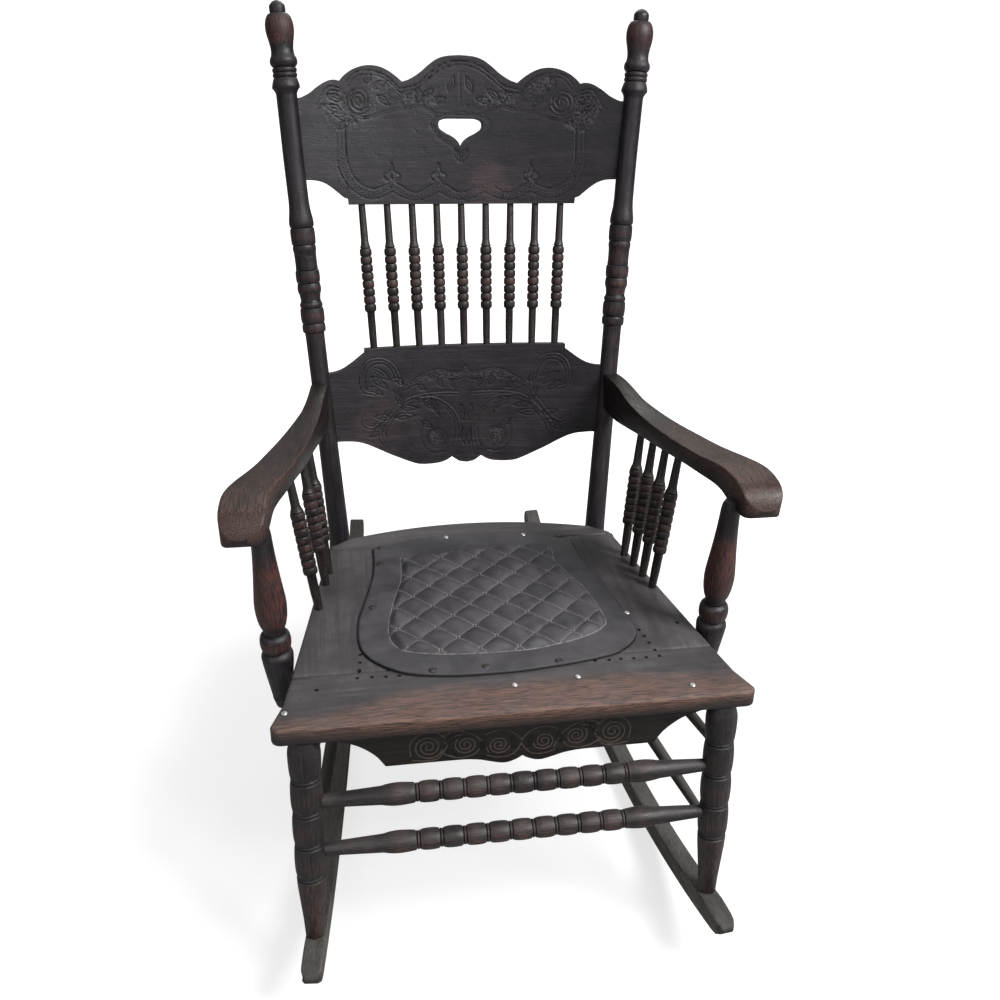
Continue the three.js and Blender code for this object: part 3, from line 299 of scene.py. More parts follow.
def store_grain(piece: Piece, order: tuple[int, int, int], seed: float) -> None:
    """Stores wood grain coordinates whose third axis runs along the grain.

    Args:
        piece: The piece, still in its own upright or flat frame.
        order: Which of the piece's axes are across, across and along the grain.
        seed: A number that sets this piece's wood apart from the others'.
    """
    offset = np.array([seed * 0.731, seed * 0.517, seed * 1.193])
    store(piece, "grain", points_of(piece)[:, order] + offset)


def smooth_shading(piece: Piece, angle: float = 38.0) -> None:
    """Shades a piece smooth, with edges sharper than an angle left crisp."""
    make_active(piece)
    bpy.ops.object.shade_smooth_by_angle(angle=math.radians(angle))


def copied(piece: Piece, name: str) -> Piece:
    """A copy of a piece with a mesh of its own."""
    make_active(piece)
    bpy.ops.object.duplicate(linked=False)
    return named(name)


def mirrored(piece: Piece, name: str) -> Piece:
    """A mirror image of a piece on the other side of the chair, with its faces outward."""
    copy = copied(piece, name)
    apply_place(copy, Matrix.Scale(-1.0, 4, (1.0, 0.0, 0.0)))
    recalculate(copy)
    return copy


def stand(piece: Piece, start: Vector, end: Vector, turn: float = 0.0) -> None:
    """Places an upright piece so that its foot is at one place and it points to another.

    Args:
        piece: The piece, made along +Z from the origin.
        start: Where its origin goes, in the chair.
        end: The place that its axis points to.
        turn: An angle about its own axis, in radians.
    """
    direction = (end - start).normalized()
    lean = direction.to_track_quat("Z", "Y").to_matrix().to_4x4()
    spin = Matrix.Rotation(turn, 4, "Z")
    apply_place(piece, Matrix.Translation(row(start)) @ lean @ spin)


def at_height(low: Vector, high: Vector, height: float) -> Vector:
    """The place on the line between two points at a height."""
    return low.lerp(high, (height - low.z) / (high.z - low.z))


def hand_over(piece: Piece, material: bpy.types.Material, slot: str, *nodes: str) -> None:
    """Gives a finished piece its material and its body, and hides what it replaces."""
    piece.data.materials.clear()
    piece.data.materials.append(material)
    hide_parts(*nodes)
    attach(piece, BODY)
    log.info("%s: %d faces", piece.name, len(piece.data.polygons))


def hand_over_pair(
    right: Piece, left: Piece, material: bpy.types.Material, slot: str, node: str
) -> None:
    """Hands over a piece on the right and its mirror image on the left."""
    for piece, side in ((right, Side.RIGHT), (left, Side.LEFT)):
        hand_over(piece, material, slot, f"{node}_{side.word}")


def on_side(place: Vector, side: Side) -> Vector:
    """A place on the right as the same place on a side."""
    return Vector((place.x * side.value, place.y, place.z))


class Shader:
    """A material's or a world's node tree, with short calls to add and join its nodes."""

    def __init__(self, name: str, world: bool = False) -> None:
        """Starts an empty tree with an output, for a material unless it is for a world."""
        self.owner = (bpy.data.worlds if world else bpy.data.materials).new(name)
        self.owner.use_nodes = True
        self.tree = self.owner.node_tree
        self.tree.nodes.clear()
        self.output = self.tree.nodes.new("ShaderNodeOutput" + ("World" if world else "Material"))

    def node(self, kind: str, inputs: dict[str, object], **settings: object) -> bpy.types.Node:
        """Adds a node.

        Args:
            kind: The node's type without its ShaderNode beginning.
            inputs: Values or output sockets for the node's inputs, by name or number.
            settings: The node's own settings.

        Returns:
            The node.
        """
        made = self.tree.nodes.new("ShaderNode" + kind)
        for name, value in settings.items():
            setattr(made, name, value)
        for name, value in inputs.items():
            if isinstance(value, Socket):
                self.tree.links.new(value, made.inputs[name])
            elif isinstance(value, tuple) and made.inputs[name].type == "RGBA":
                made.inputs[name].default_value = (*value, 1.0)
            else:
                made.inputs[name].default_value = value
        return made

    def attribute(self, name: str, vector: bool = False) -> Socket:
        """A stored attribute as a number or a vector."""
        made = self.node("Attribute", {}, attribute_name=name)
        return made.outputs["Vector" if vector else "Fac"]

    def stretched(self, vector: Socket, scale: tuple[float, float, float]) -> Socket:
        """Coordinates scaled differently along each axis."""
        return self.node("Mapping", {"Vector": vector, "Scale": scale}).outputs["Vector"]

    def noise(
        self, vector: Socket, scale: float, detail: float = 4.0,
        roughness: float = 0.55, distortion: float = 0.0,
    ) -> Socket:
        """Noise between 0 and 1."""
        inputs = {
            "Vector": vector, "Scale": scale, "Detail": detail,
            "Roughness": roughness, "Distortion": distortion,
        }
        return self.node("TexNoise", inputs).outputs["Fac"]

    def ranged(
        self, value: Socket, low: float, high: float,
        to_low: float = 0.0, to_high: float = 1.0,
    ) -> Socket:
        """A value mapped smoothly from one range to another."""
        inputs = {0: value, 1: low, 2: high, 3: to_low, 4: to_high}
        made = self.node("MapRange", inputs, interpolation_type="SMOOTHSTEP")
        return made.outputs["Result"]

    def maths(self, operation: str, *values: object) -> Socket:
        """One step of arithmetic on numbers or sockets."""
        inputs = dict(enumerate(values))
        return self.node("Math", inputs, operation=operation).outputs["Value"]

    def times(self, first: object, second: object) -> Socket:
        """Two numbers or sockets, one times the other."""
        return self.maths("MULTIPLY", first, second)

    def mixed(self, share: object, first: object, second: object, blend: str = "MIX") -> Socket:
        """Two colours mixed by a share."""
        inputs = {0: share, 6: first, 7: second}
        made = self.node("Mix", inputs, data_type="RGBA", blend_type=blend, clamp_factor=True)
        return made.outputs[2]

    def bump(
        self, height: Socket, strength: float, distance: float,
        normal: Socket | None = None,
    ) -> Socket:
        """A bumped normal, on top of another one if given."""
        inputs = {"Height": height, "Strength": strength, "Distance": distance}
        if normal is not None:
            inputs["Normal"] = normal
        return self.node("Bump", inputs).outputs["Normal"]

    def end(self, surface: Socket) -> None:
        """Ends the tree in a surface."""
        self.tree.links.new(surface, self.output.inputs["Surface"])

    def surface(self, inputs: dict[str, object]) -> bpy.types.Material:
        """Ends the tree in one principled surface and returns the material."""
        self.end(self.node("BsdfPrincipled", inputs).outputs["BSDF"])
        return self.owner


@dataclass(frozen=True)
class WoodFinish:
    """Old varnished wood: streaked grain, rubbed reddish wear, dust and fine scratches, with a
    painted top light, painted highlights on raised relief and painted shade in grooves and pits.
    """

    name: str
    deep: Colour
    body: Colour
    worn: Colour
    dust: Colour
    dust_share: float = 0.25
    wear_spread: float = 0.5
    roughness: float = 0.5
    fibre: float = 900.0
    streaks: float = 0.5
    patch: float = 21.0
    under: Colour | None = None
    mottle: float = 0.0
    run: float = 0.028
    curl: float = 0.0
    # Share of rubbed wear and painted highlight on raised relief.
    ridge: float = 0.3

    @property
    def black(self) -> Colour:
        """The colour of the dirt and the painted shade in pits and pressed grooves."""
        return tuple(share * 0.35 for share in self.deep)

    def material(self) -> bpy.types.Material:
        """The finish as a node material that reads grain, worn, relief and pitted."""
        shader = Shader(self.name)
        grain = shader.attribute("grain", vector=True)
        relief = shader.attribute("relief")
        figure = shader.noise(shader.stretched(grain, (55.0, 55.0, 3.2)), 1.0, 5.0, 0.6, 1.4)
        fibres = shader.noise(
            shader.stretched(grain, (self.fibre, self.fibre, self.fibre * self.run)), 1.0, 3.0,
            0.7, self.curl)
        patches = shader.noise(grain, self.patch, 5.0, 0.62, 0.4)
        fine = shader.noise(grain, 640.0, 2.0, 0.6)
        colour = shader.mixed(shader.ranged(figure, 0.36, 0.66), self.deep, self.body)
        streak = shader.ranged(
            fibres, 0.38, 0.62, 1.0 - self.streaks * 0.8, 1.0 + self.streaks * 0.5)
        colour = shader.mixed(1.0, colour, self.grey(shader, streak), "MULTIPLY")
        stains = shader.ranged(shader.noise(grain, 11.0, 6.0, 0.7, 0.8), 0.35, 0.62, 1.0, 0.0)
        stains = shader.times(stains, self.mottle)
        colour = shader.mixed(stains, colour, self.deep)
        wear = self.wear(shader, patches, fibres)
        rubbed = shader.mixed(
            shader.ranged(fibres, 0.38, 0.62), self.under or self.body, self.worn)
        colour = shader.mixed(wear, colour, rubbed)
        scratches = shader.noise(shader.stretched(grain, (1500.0, 1500.0, 80.0)), 1.0, 2.0, 0.5)
        scratches = shader.times(shader.ranged(scratches, 0.6, 0.7), 0.4)
        scratches = shader.times(scratches, shader.ranged(patches, 0.35, 0.65))
        colour = shader.mixed(scratches, colour, self.dust)
        cells = shader.node("TexVoronoi", {"Vector": grain, "Scale": 300.0}).outputs["Distance"]
        pitted = shader.attribute("pitted")
        # Stippled pits: dirt with painted shade in the pits, and dust with a painted glint on their
        # rims.
        pits = shader.times(shader.ranged(cells, 0.25, 0.45, 0.95, 0.0), pitted)
        rim_dust_and_glint = shader.times(shader.ranged(cells, 0.5, 0.7, 0.0, 0.45), pitted)
        colour = self.with_dust_and_painted_light(shader, colour, patches, fine, relief)
        colour = shader.mixed(rim_dust_and_glint, colour, self.dust)
        colour = shader.mixed(pits, colour, self.black)
        rough = shader.ranged(patches, 0.3, 0.7, self.roughness - 0.08, self.roughness + 0.12)
        rough = shader.maths("ADD", rough, shader.times(wear, 0.08))
        height = shader.maths("ADD", fibres, shader.times(fine, 0.6))
        dents = shader.ranged(shader.noise(grain, 95.0, 3.0, 0.5), 0.25, 0.42)
        normal = shader.bump(height, 0.45, 0.0007)
        normal = shader.bump(dents, 0.22, 0.0012, normal)
        return shader.surface({
            "Base Color": colour, "Roughness": rough, "Normal": normal,
            "Specular IOR Level": 0.42,
        })

    def grey(self, shader: Shader, value: Socket) -> Socket:
        """A number as a grey colour."""
        made = shader.node("CombineColor", {"Red": value, "Green": value, "Blue": value})
        return made.outputs["Color"]

    def wear(self, shader: Shader, patches: Socket, fibres: Socket) -> Socket:
        """Where the finish is rubbed through: the stored wear, broken up by patches and grain."""
        worn = shader.attribute("worn")
        broken = shader.maths("MULTIPLY_ADD", patches, self.wear_spread, worn)
        broken = shader.maths("MULTIPLY_ADD", fibres, self.wear_spread * 0.5, broken)
        middle = 0.5 + self.wear_spread * 0.75
        return shader.ranged(broken, middle - 0.22, middle + 0.3)

    def with_dust_and_painted_light(
        self, shader: Shader, colour: Socket, patches: Socket, fine: Socket, relief: Socket
    ) -> Socket:
        """The colour with dust and a painted top light on what faces up, specks, ridges lightened
        by rubbing and a painted highlight, and grooves darkened by dirt and painted shade.
        """
        normal = shader.node("NewGeometry", {}).outputs["Normal"]
        up = shader.node("SeparateXYZ", {"Vector": normal}).outputs["Z"]
        # Settled dust together with a painted top light: faces that point up are painted paler.
        top_dust_and_light = shader.times(shader.ranged(up, 0.1, 1.0), self.dust_share)
        top_dust_and_light = shader.times(top_dust_and_light, shader.ranged(patches, 0.25, 0.7, 0.45, 1.2))
        colour = shader.mixed(top_dust_and_light, colour, self.dust)
        specks = shader.times(shader.ranged(fine, 0.62, 0.76), 0.3)
        colour = shader.mixed(specks, colour, self.dust)
        # Raised relief is lightened toward the worn colour: rubbed wear with a painted highlight.
        ridge = shader.times(shader.ranged(relief, 0.05, 0.4), self.ridge)
        colour = shader.mixed(ridge, colour, self.worn)
        # Low relief (grooves, cuts and low stored areas) is darkened: dirt with painted shade.
        groove = shader.times(shader.ranged(relief, -0.7, -0.1, 1.0, 0.0), 0.95)
        return shader.mixed(groove, colour, self.black)


@dataclass(frozen=True)
class LeatherFinish:
    """Dull dark leather with pale quilting thread and dusty seams."""

    name: str = "panel_leather_finish"
    body: Colour = (0.045, 0.042, 0.048)
    pale: Colour = (0.092, 0.087, 0.095)
    thread: Colour = (0.36, 0.34, 0.335)
    dark: Colour = (0.008, 0.007, 0.007)
    thread_half: float = 0.011
    dash: float = 7.0

    def material(self) -> bpy.types.Material:
        """The finish as a node material that reads quilt, field and border."""
        shader = Shader(self.name)
        place = shader.node("TexCoord", {}).outputs["Object"]
        quilt = shader.attribute("quilt", vector=True)
        parts = shader.node("SeparateXYZ", {"Vector": quilt}).outputs
        inside = shader.ranged(shader.attribute("field"), -0.0005, 0.0008)
        mottle = shader.noise(place, 22.0, 5.0, 0.6, 0.5)
        grain = shader.node(
            "TexVoronoi", {"Vector": place, "Scale": 620.0}, feature="DISTANCE_TO_EDGE"
        ).outputs["Distance"]
        colour = shader.mixed(shader.ranged(mottle, 0.3, 0.72), self.body, self.pale)
        first = self.seam(shader, parts["X"], parts["Y"])
        second = self.seam(shader, parts["Y"], parts["X"])
        seam = shader.maths("MAXIMUM", first[0], second[0])
        stitch = shader.maths("MAXIMUM", first[1], second[1])
        star = shader.maths("MAXIMUM", first[2], second[2])
        star = shader.times(star, self.tuft(shader, parts, 0.1, 0.13))
        stitch = shader.maths("MAXIMUM", shader.times(stitch, 0.5), star)
        seam = shader.times(seam, inside)
        stitch = shader.times(stitch, inside)
        rim = shader.maths("ABSOLUTE", shader.attribute("field"))
        border = shader.ranged(rim, 0.0003, 0.0012, 0.5, 0.0)
        stitch = shader.maths("MAXIMUM", stitch, border)
        colour = shader.mixed(shader.times(seam, 0.07), colour, self.thread)
        broken = shader.ranged(shader.noise(place, 130.0, 2.0), 0.3, 0.55)
        colour = shader.mixed(shader.times(stitch, broken), colour, self.thread)
        scuffs = shader.ranged(shader.noise(place, 60.0, 4.0, 0.7), 0.6, 0.78)
        colour = shader.mixed(shader.times(scuffs, 0.35), colour, self.pale)
        tuft = shader.times(self.tuft(shader, parts, 0.03, 0.05), inside)
        colour = shader.mixed(tuft, colour, self.dark)
        gap = shader.ranged(shader.attribute("border"), 0.0004, 0.0015, 1.0, 0.0)
        colour = shader.mixed(gap, colour, self.dark)
        height = shader.ranged(grain, 0.0, 0.25)
        normal = shader.bump(height, 0.18, 0.0004)
        normal = shader.bump(shader.noise(place, 150.0, 4.0, 0.6), 0.3, 0.0012, normal)
        rough = shader.ranged(mottle, 0.3, 0.7, 0.5, 0.66)
        return shader.surface({"Base Color": colour, "Roughness": rough, "Normal": normal})

    def seam(self, shader: Shader, across: Socket, along: Socket) -> tuple[Socket, Socket, Socket]:
        """A soft dusty seam and its dashed thread at every whole number across.

        Args:
            shader: The material's tree.
            across: The quilt coordinate that counts the seams.
            along: The quilt coordinate that runs along them.

        Returns:
            The strength of the seam, of the dashed thread and of an unbroken one.
        """
        nearest = shader.maths("PINGPONG", across, 0.5)
        soft = shader.ranged(nearest, 0.0, 0.13, 1.0, 0.0)
        line = shader.ranged(nearest, self.thread_half * 0.6, self.thread_half * 2.4, 1.0, 0.0)
        dashes = shader.maths("PINGPONG", shader.times(along, self.dash), 0.5)
        return soft, shader.times(line, shader.ranged(dashes, 0.1, 0.2)), line

    def tuft(self, shader: Shader, parts: dict[str, Socket], near: float, far: float) -> Socket:
        """How close a place is to where two seams cross, 1 within near and 0 beyond far."""
        away = [
            shader.maths("POWER", shader.maths("PINGPONG", parts[axis], 0.5), 2.0)
            for axis in ("X", "Y")]
        return shader.ranged(
            shader.maths("SQRT", shader.maths("ADD", *away)), near, far, 1.0, 0.0)


@dataclass(frozen=True)
class MetalFinish:
    """Domed steel heads, bright or gone dull and rusty."""

    name: str
    clean: Colour
    stain: Colour
    roughness: float
    stained: float

    def material(self) -> bpy.types.Material:
        """The finish as a node material on object coordinates."""
        shader = Shader(self.name)
        place = shader.node("TexCoord", {}).outputs["Object"]
        spots = shader.noise(place, 520.0, 4.0, 0.65)
        mask = shader.ranged(spots, 0.62 - self.stained, 0.8 - self.stained)
        colour = shader.mixed(mask, self.clean, self.stain)
        rough = shader.ranged(spots, 0.3, 0.7, self.roughness, self.roughness + 0.25)
        normal = shader.bump(spots, 0.3, 0.0003)
        return shader.surface({
            "Base Color": colour, "Roughness": rough, "Normal": normal, "Metallic": 0.85,
        })


BACK_WOOD = WoodFinish(
    "back_wood_finish", deep=(0.012, 0.01, 0.013), body=(0.023, 0.019, 0.025),
    worn=(0.07, 0.044, 0.044), dust=(0.085, 0.076, 0.088), dust_share=0.12, wear_spread=0.55,
    streaks=0.45, ridge=0.08)
APRON_WOOD = WoodFinish(
    "apron_wood_finish", deep=(0.01, 0.008, 0.007), body=(0.022, 0.017, 0.015),
    worn=(0.17, 0.13, 0.105), dust=(0.085, 0.076, 0.07), dust_share=0.15, wear_spread=0.4,
    streaks=0.45, ridge=0.6)
POST_WOOD = WoodFinish(
    "post_wood_finish", deep=(0.01, 0.008, 0.01), body=(0.024, 0.02, 0.024),
    worn=(0.14, 0.044, 0.032), dust=(0.12, 0.106, 0.11), wear_spread=0.6, roughness=0.42,
    streaks=0.6)
SPINDLE_WOOD = WoodFinish(
    "spindle_wood_finish", deep=(0.01, 0.006, 0.006), body=(0.03, 0.021, 0.021),
    worn=(0.1, 0.044, 0.034), dust=(0.14, 0.12, 0.115), dust_share=0.32, wear_spread=0.7,
    roughness=0.42, patch=75.0)
ARM_WOOD = WoodFinish(
    "arm_wood_finish", deep=(0.01, 0.006, 0.006), body=(0.026, 0.016, 0.015),
    worn=(0.105, 0.058, 0.044), dust=(0.12, 0.095, 0.085), dust_share=0.08, wear_spread=0.6,
    roughness=0.4, fibre=700.0, streaks=0.4)
SEAT_WOOD = WoodFinish(
    "seat_wood_finish", deep=(0.036, 0.031, 0.032), body=(0.105, 0.096, 0.099),
    worn=(0.17, 0.12, 0.105), dust=(0.15, 0.142, 0.146), dust_share=0.3, roughness=0.6,
    fibre=700.0, streaks=0.12, mottle=0.9)
SEAT_FRONT_WOOD = WoodFinish(
    "seat_front_wood_finish", deep=(0.036, 0.031, 0.032), body=(0.105, 0.096, 0.099),
    worn=(0.25, 0.135, 0.095), dust=(0.15, 0.142, 0.146), dust_share=0.3, wear_spread=0.45,
    roughness=0.52, streaks=0.12, under=(0.04, 0.021, 0.018), mottle=0.9, run=0.045, curl=0.8)
LEG_WOOD = WoodFinish(
    "leg_wood_finish", deep=(0.01, 0.008, 0.009), body=(0.027, 0.022, 0.024),
    worn=(0.15, 0.07, 0.052), dust=(0.14, 0.128, 0.128), dust_share=0.3, wear_spread=0.65,
    roughness=0.44, streaks=0.6)
RUNNER_WOOD = WoodFinish(
    "runner_wood_finish", deep=(0.024, 0.022, 0.02), body=(0.06, 0.056, 0.051),
    worn=(0.16, 0.143, 0.13), dust=(0.125, 0.12, 0.11), dust_share=0.4, roughness=0.66, fibre=700.0,
    streaks=0.6)
PANEL_LEATHER = LeatherFinish()
BRIGHT_TACK = MetalFinish(
    "bright_tack_finish", clean=(0.78, 0.76, 0.72), stain=(0.3, 0.24, 0.19), roughness=0.28,
    stained=0.0)
DULL_TACK = MetalFinish(
    "dull_tack_finish", clean=(0.15, 0.14, 0.14), stain=(0.05, 0.04, 0.035), roughness=0.5,
    stained=0.2)


@dataclass
class Profile:
    """A turner's profile: points of distance, radius, wear and relief, from one end."""

    points: list[tuple[float, float, float, float]] = field(default_factory=list)
    wear: float = 0.0
    steps: int = 7

    def to(self, distance: float, diameter: float) -> "Profile":
        """Runs straight to a distance and a diameter."""
        self.points.append((distance, diameter / 2, self.wear, 0.0))
        return self

    def cut(self, distance: float, diameter: float) -> "Profile":
        """Sets the bottom of a sharp cut at a distance, which the finish darkens with dirt and
        painted shade.
        """
        self.points.append((distance, diameter / 2, 0.0, -1.0))
        return self

    def rubbed(self, wear: float) -> "Profile":
        """Sets how worn what follows is."""
        self.wear = wear
        return self

    def bead(self, end: float, crown: float, edge: float, fullness: float = 0.5) -> "Profile":
        """Turns a rounded bead.

        Args:
            end: Where the bead ends.
            crown: Its diameter at its middle.
            edge: Its diameter where it ends.
            fullness: 0.5 for a half round, 1 for a gentle swell.
        """
        start, radius = self.points[-1][:2]
        for i in range(1, self.steps + 1):
            share = i / self.steps
            arch = math.sin(math.pi * share) ** fullness
            base = radius + (edge / 2 - radius) * share
            self.points.append((
                start + (end - start) * share, base + (crown / 2 - base) * arch,
                self.wear * (0.35 + 0.65 * arch), 0.0))
        return self

    def groove(self, width: float, diameter: float) -> "Profile":
        """Cuts a narrow groove and comes back to the diameter before it."""
        start, radius, wear, _ = self.points[-1]
        self.cut(start + width * 0.35, diameter).cut(start + width * 0.65, diameter)
        self.points.append((start + width, radius, wear, 0.0))
        return self


def turned(name: str, profile: Profile, sides: int, seed: float) -> Piece:
    """A turned piece along +Z, made by extruding and scaling a round blank.

    Args:
        name: The piece's name.
        profile: Its profile in millimetres.
        sides: How many sides the round blank has.
        seed: Sets its grain apart.

    Returns:
        The piece, in metres, with its grain and wear stored.
    """
    clear_selection()
    start, radius = profile.points[0][:2]
    bpy.ops.mesh.primitive_circle_add(
        vertices=sides, radius=radius * MM, fill_type="NGON", location=(0.0, 0.0, start * MM))
    piece = named(name)
    with editing("FACE"):
        for (before, old, *_), (after, new, *_) in zip(profile.points, profile.points[1:]):
            step = (0.0, 0.0, (after - before) * MM)
            bpy.ops.mesh.extrude_region_move(TRANSFORM_OT_translate={"value": step})
            if abs(new - old) > 1e-6:
                grow = new / old
                bpy.ops.transform.resize(value=(grow, grow, 1.0), center_override=(0.0, 0.0, 0.0))
        bpy.ops.mesh.select_all(action="SELECT")
        bpy.ops.mesh.normals_make_consistent(inside=False)
    bpy.ops.object.transform_apply(location=True, rotation=True, scale=True)
    distances = [point[0] * MM for point in profile.points]
    heights = points_of(piece)[:, 2]
    # Relief below zero marks cuts that the finish darkens with dirt and painted shade.
    for kept, place in (("worn", 2), ("relief", 3)):
        values = [point[place] for point in profile.points]
        store(piece, kept, np.interp(heights, distances, values))
    store_grain(piece, (0, 1, 2), seed)
    smooth_shading(piece)
    return piece


def board_from(name: str, outline: Places, bottom: float, top: float) -> Piece:
    """A flat board from its outline, in metres, between two levels of its own Z."""
    clear_selection()
    bpy.ops.mesh.primitive_circle_add(vertices=len(outline), radius=1.0, fill_type="NGON")
    piece = named(name)
    set_points(piece, np.array([(x * MM, y * MM, bottom * MM) for x, y in outline]))
    with editing("FACE"):
        step = (0.0, 0.0, (top - bottom) * MM)
        bpy.ops.mesh.extrude_region_move(TRANSFORM_OT_translate={"value": step})
    recalculate(piece)
    return piece


def round_edges(
    piece: Piece, radius: float, segments: int, keep: Callable[[Vector], bool] | None = None
) -> None:
    """Rounds a board's sharp edges with the bevel operator.

    Args:
        piece: The board.
        radius: The rounding's radius in millimetres.
        segments: How many facets the rounding has.
        keep: A test of an edge's middle point that says whether it is rounded; all if None.
    """
    make_active(piece)
    with editing("EDGE", "DESELECT"):
        bpy.ops.mesh.edges_select_sharp(sharpness=math.radians(40.0))
    if keep is not None:
        vertices = piece.data.vertices
        for edge in piece.data.edges:
            a, b = edge.vertices
            if edge.select and not keep((vertices[a].co + vertices[b].co) / 2 / MM):
                edge.select = False
    with editing(action=None):
        bpy.ops.mesh.bevel(offset=radius * MM, segments=segments, affect="EDGES")


class Line(Enum):
    """A kind of pressed line: its half width, and its band's and its edges' depth in mm."""

    ROLL = (2.1, 0.45, 0.75)
    FINE = (1.3, 0.2, 0.65)
    BEAD = (1.6, 0.9, 0.5)
    CUT = (0.0, 0.0, 1.0)
    WIRE = (1.4, 0.5, 0.35)


@dataclass
class Pressing:
    """Pressed ornament on a board: strokes, round bosses, pitted patches and rubbed spots."""

    samples: dict[Line, list[Place]] = field(default_factory=dict)
    pitted: list[np.ndarray] = field(default_factory=list)
    rubbed: list[tuple[float, float, float, float]] = field(default_factory=list)
    shift: float = 0.0

    def stroke(self, kind: Line, places: Places, mirror: bool = True) -> None:
        """Adds a stroke along a smooth curve, and its mirror image unless told not to."""
        points = curve_through(places, 14)
        if mirror:
            points = np.concatenate([points, points * (-1.0, 1.0)])
        self.samples.setdefault(kind, []).extend(map(tuple, points))

    def spiral(
        self, kind: Line, centre: Place, outer: float, inner: float, turns: float, start: float
    ) -> None:
        """Adds a spiral stroke and its mirror image.

        Args:
            kind: The kind of line.
            centre: Its middle.
            outer: Its radius where it starts.
            inner: Its radius where it ends.
            turns: How many turns it makes, negative for clockwise.
            start: The angle where it starts, in degrees.
        """
        share = np.linspace(0.0, 1.0, max(8, int(abs(turns) * 16)))
        radius = outer + (inner - outer) * share
        angle = math.radians(start) + 2 * math.pi * turns * share
        x = centre[0] + radius * np.cos(angle)
        y = centre[1] + radius * np.sin(angle)
        self.stroke(kind, list(zip(x, y)))

    def leaf(self, x: float, y: float, tip_x: float, tip_y: float, width: float) -> None:
        """Cuts a leaf's outline and its rib from a base to a tip, and its mirror image."""
        start, end = np.array([x, y], float), np.array([tip_x, tip_y], float)
        along = end - start
        out = np.array([-along[1], along[0]]) / np.linalg.norm(along) * width / 2
        for sign in (-1.0, 1.0):
            full = start + along * 0.3 + out * sign
            narrow = start + along * 0.65 + out * sign * 0.8
            self.stroke(Line.CUT, [start, full, narrow, end])
        self.stroke(Line.CUT, [start, start + along * 0.6])

    def trefoil(self, centre: float, foot: float) -> None:
        """Cuts a pointed three-lobed sprig that stands on the border's cusp."""
        half = [(14, 0), (7, 3), (4, 7), (8, 8), (11, 13), (8, 17), (4, 18), (2, 24), (0, 31)]
        for sign in (1, -1):
            self.stroke(Line.CUT, [(centre + sign * x, foot + y) for x, y in half], False)
        self.stroke(Line.CUT, [(centre, foot + 8), (centre, foot + 20)], False)
        inner = [(0, 6), (9, 8), (9, 15), (3, 18), (0, 27), (-3, 18), (-9, 15), (-9, 8)]
        self.stipple([(centre + x, foot + y) for x, y in inner], False)

    def dots(self, places: Places) -> None:
        """Adds round bosses at places and at their mirror images."""
        beads = self.samples.setdefault(Line.BEAD, [])
        beads.extend(places)
        beads.extend((-x, y) for x, y in places)

    def stipple(self, outline: Places, mirror: bool = True) -> None:
        """Marks an outline, and its mirror image if asked, as closely pitted."""
        corners = np.array(outline, float)
        self.pitted.append(corners)
        if mirror:
            self.pitted.append(corners * (-1.0, 1.0))

    def pits(self, points: np.ndarray) -> np.ndarray:
        """1 at points within a pitted patch and 0 elsewhere."""
        patches = [inside_outline(points, corners) for corners in self.pitted]
        return np.any(patches, axis=0).astype(float) if patches else np.zeros(len(points))

    def rubs(self, points: np.ndarray) -> np.ndarray:
        """The extra wear of the rubbed spots at points on the board."""
        total = np.zeros(len(points))
        for x, y, reach, wear in self.rubbed:
            away = np.hypot(points[:, 0] - x, points[:, 1] - y)
            total += wear * np.exp(-((away / reach) ** 2))
        return total

    def heights(self, points: np.ndarray) -> np.ndarray:
        """The pressing's height at points on the board, in millimetres."""
        total = np.zeros(len(points))
        for kind, samples in self.samples.items():
            half, height, depth = kind.value
            tree = KDTree(len(samples))
            for i, (x, y) in enumerate(samples):
                tree.insert((x + self.shift, y, 0.0), i)
            tree.balance()
            away = np.array([tree.find((x, y, 0.0))[2] for x, y in points])
            band = height * np.clip(1.0 - (away / max(half, 0.1)) ** 2, 0.0, 1.0) ** 0.7
            shape = band - depth * np.exp(-((away - half) / 0.7) ** 2)
            total = np.where(np.abs(shape) > np.abs(total), shape, total)
        return total


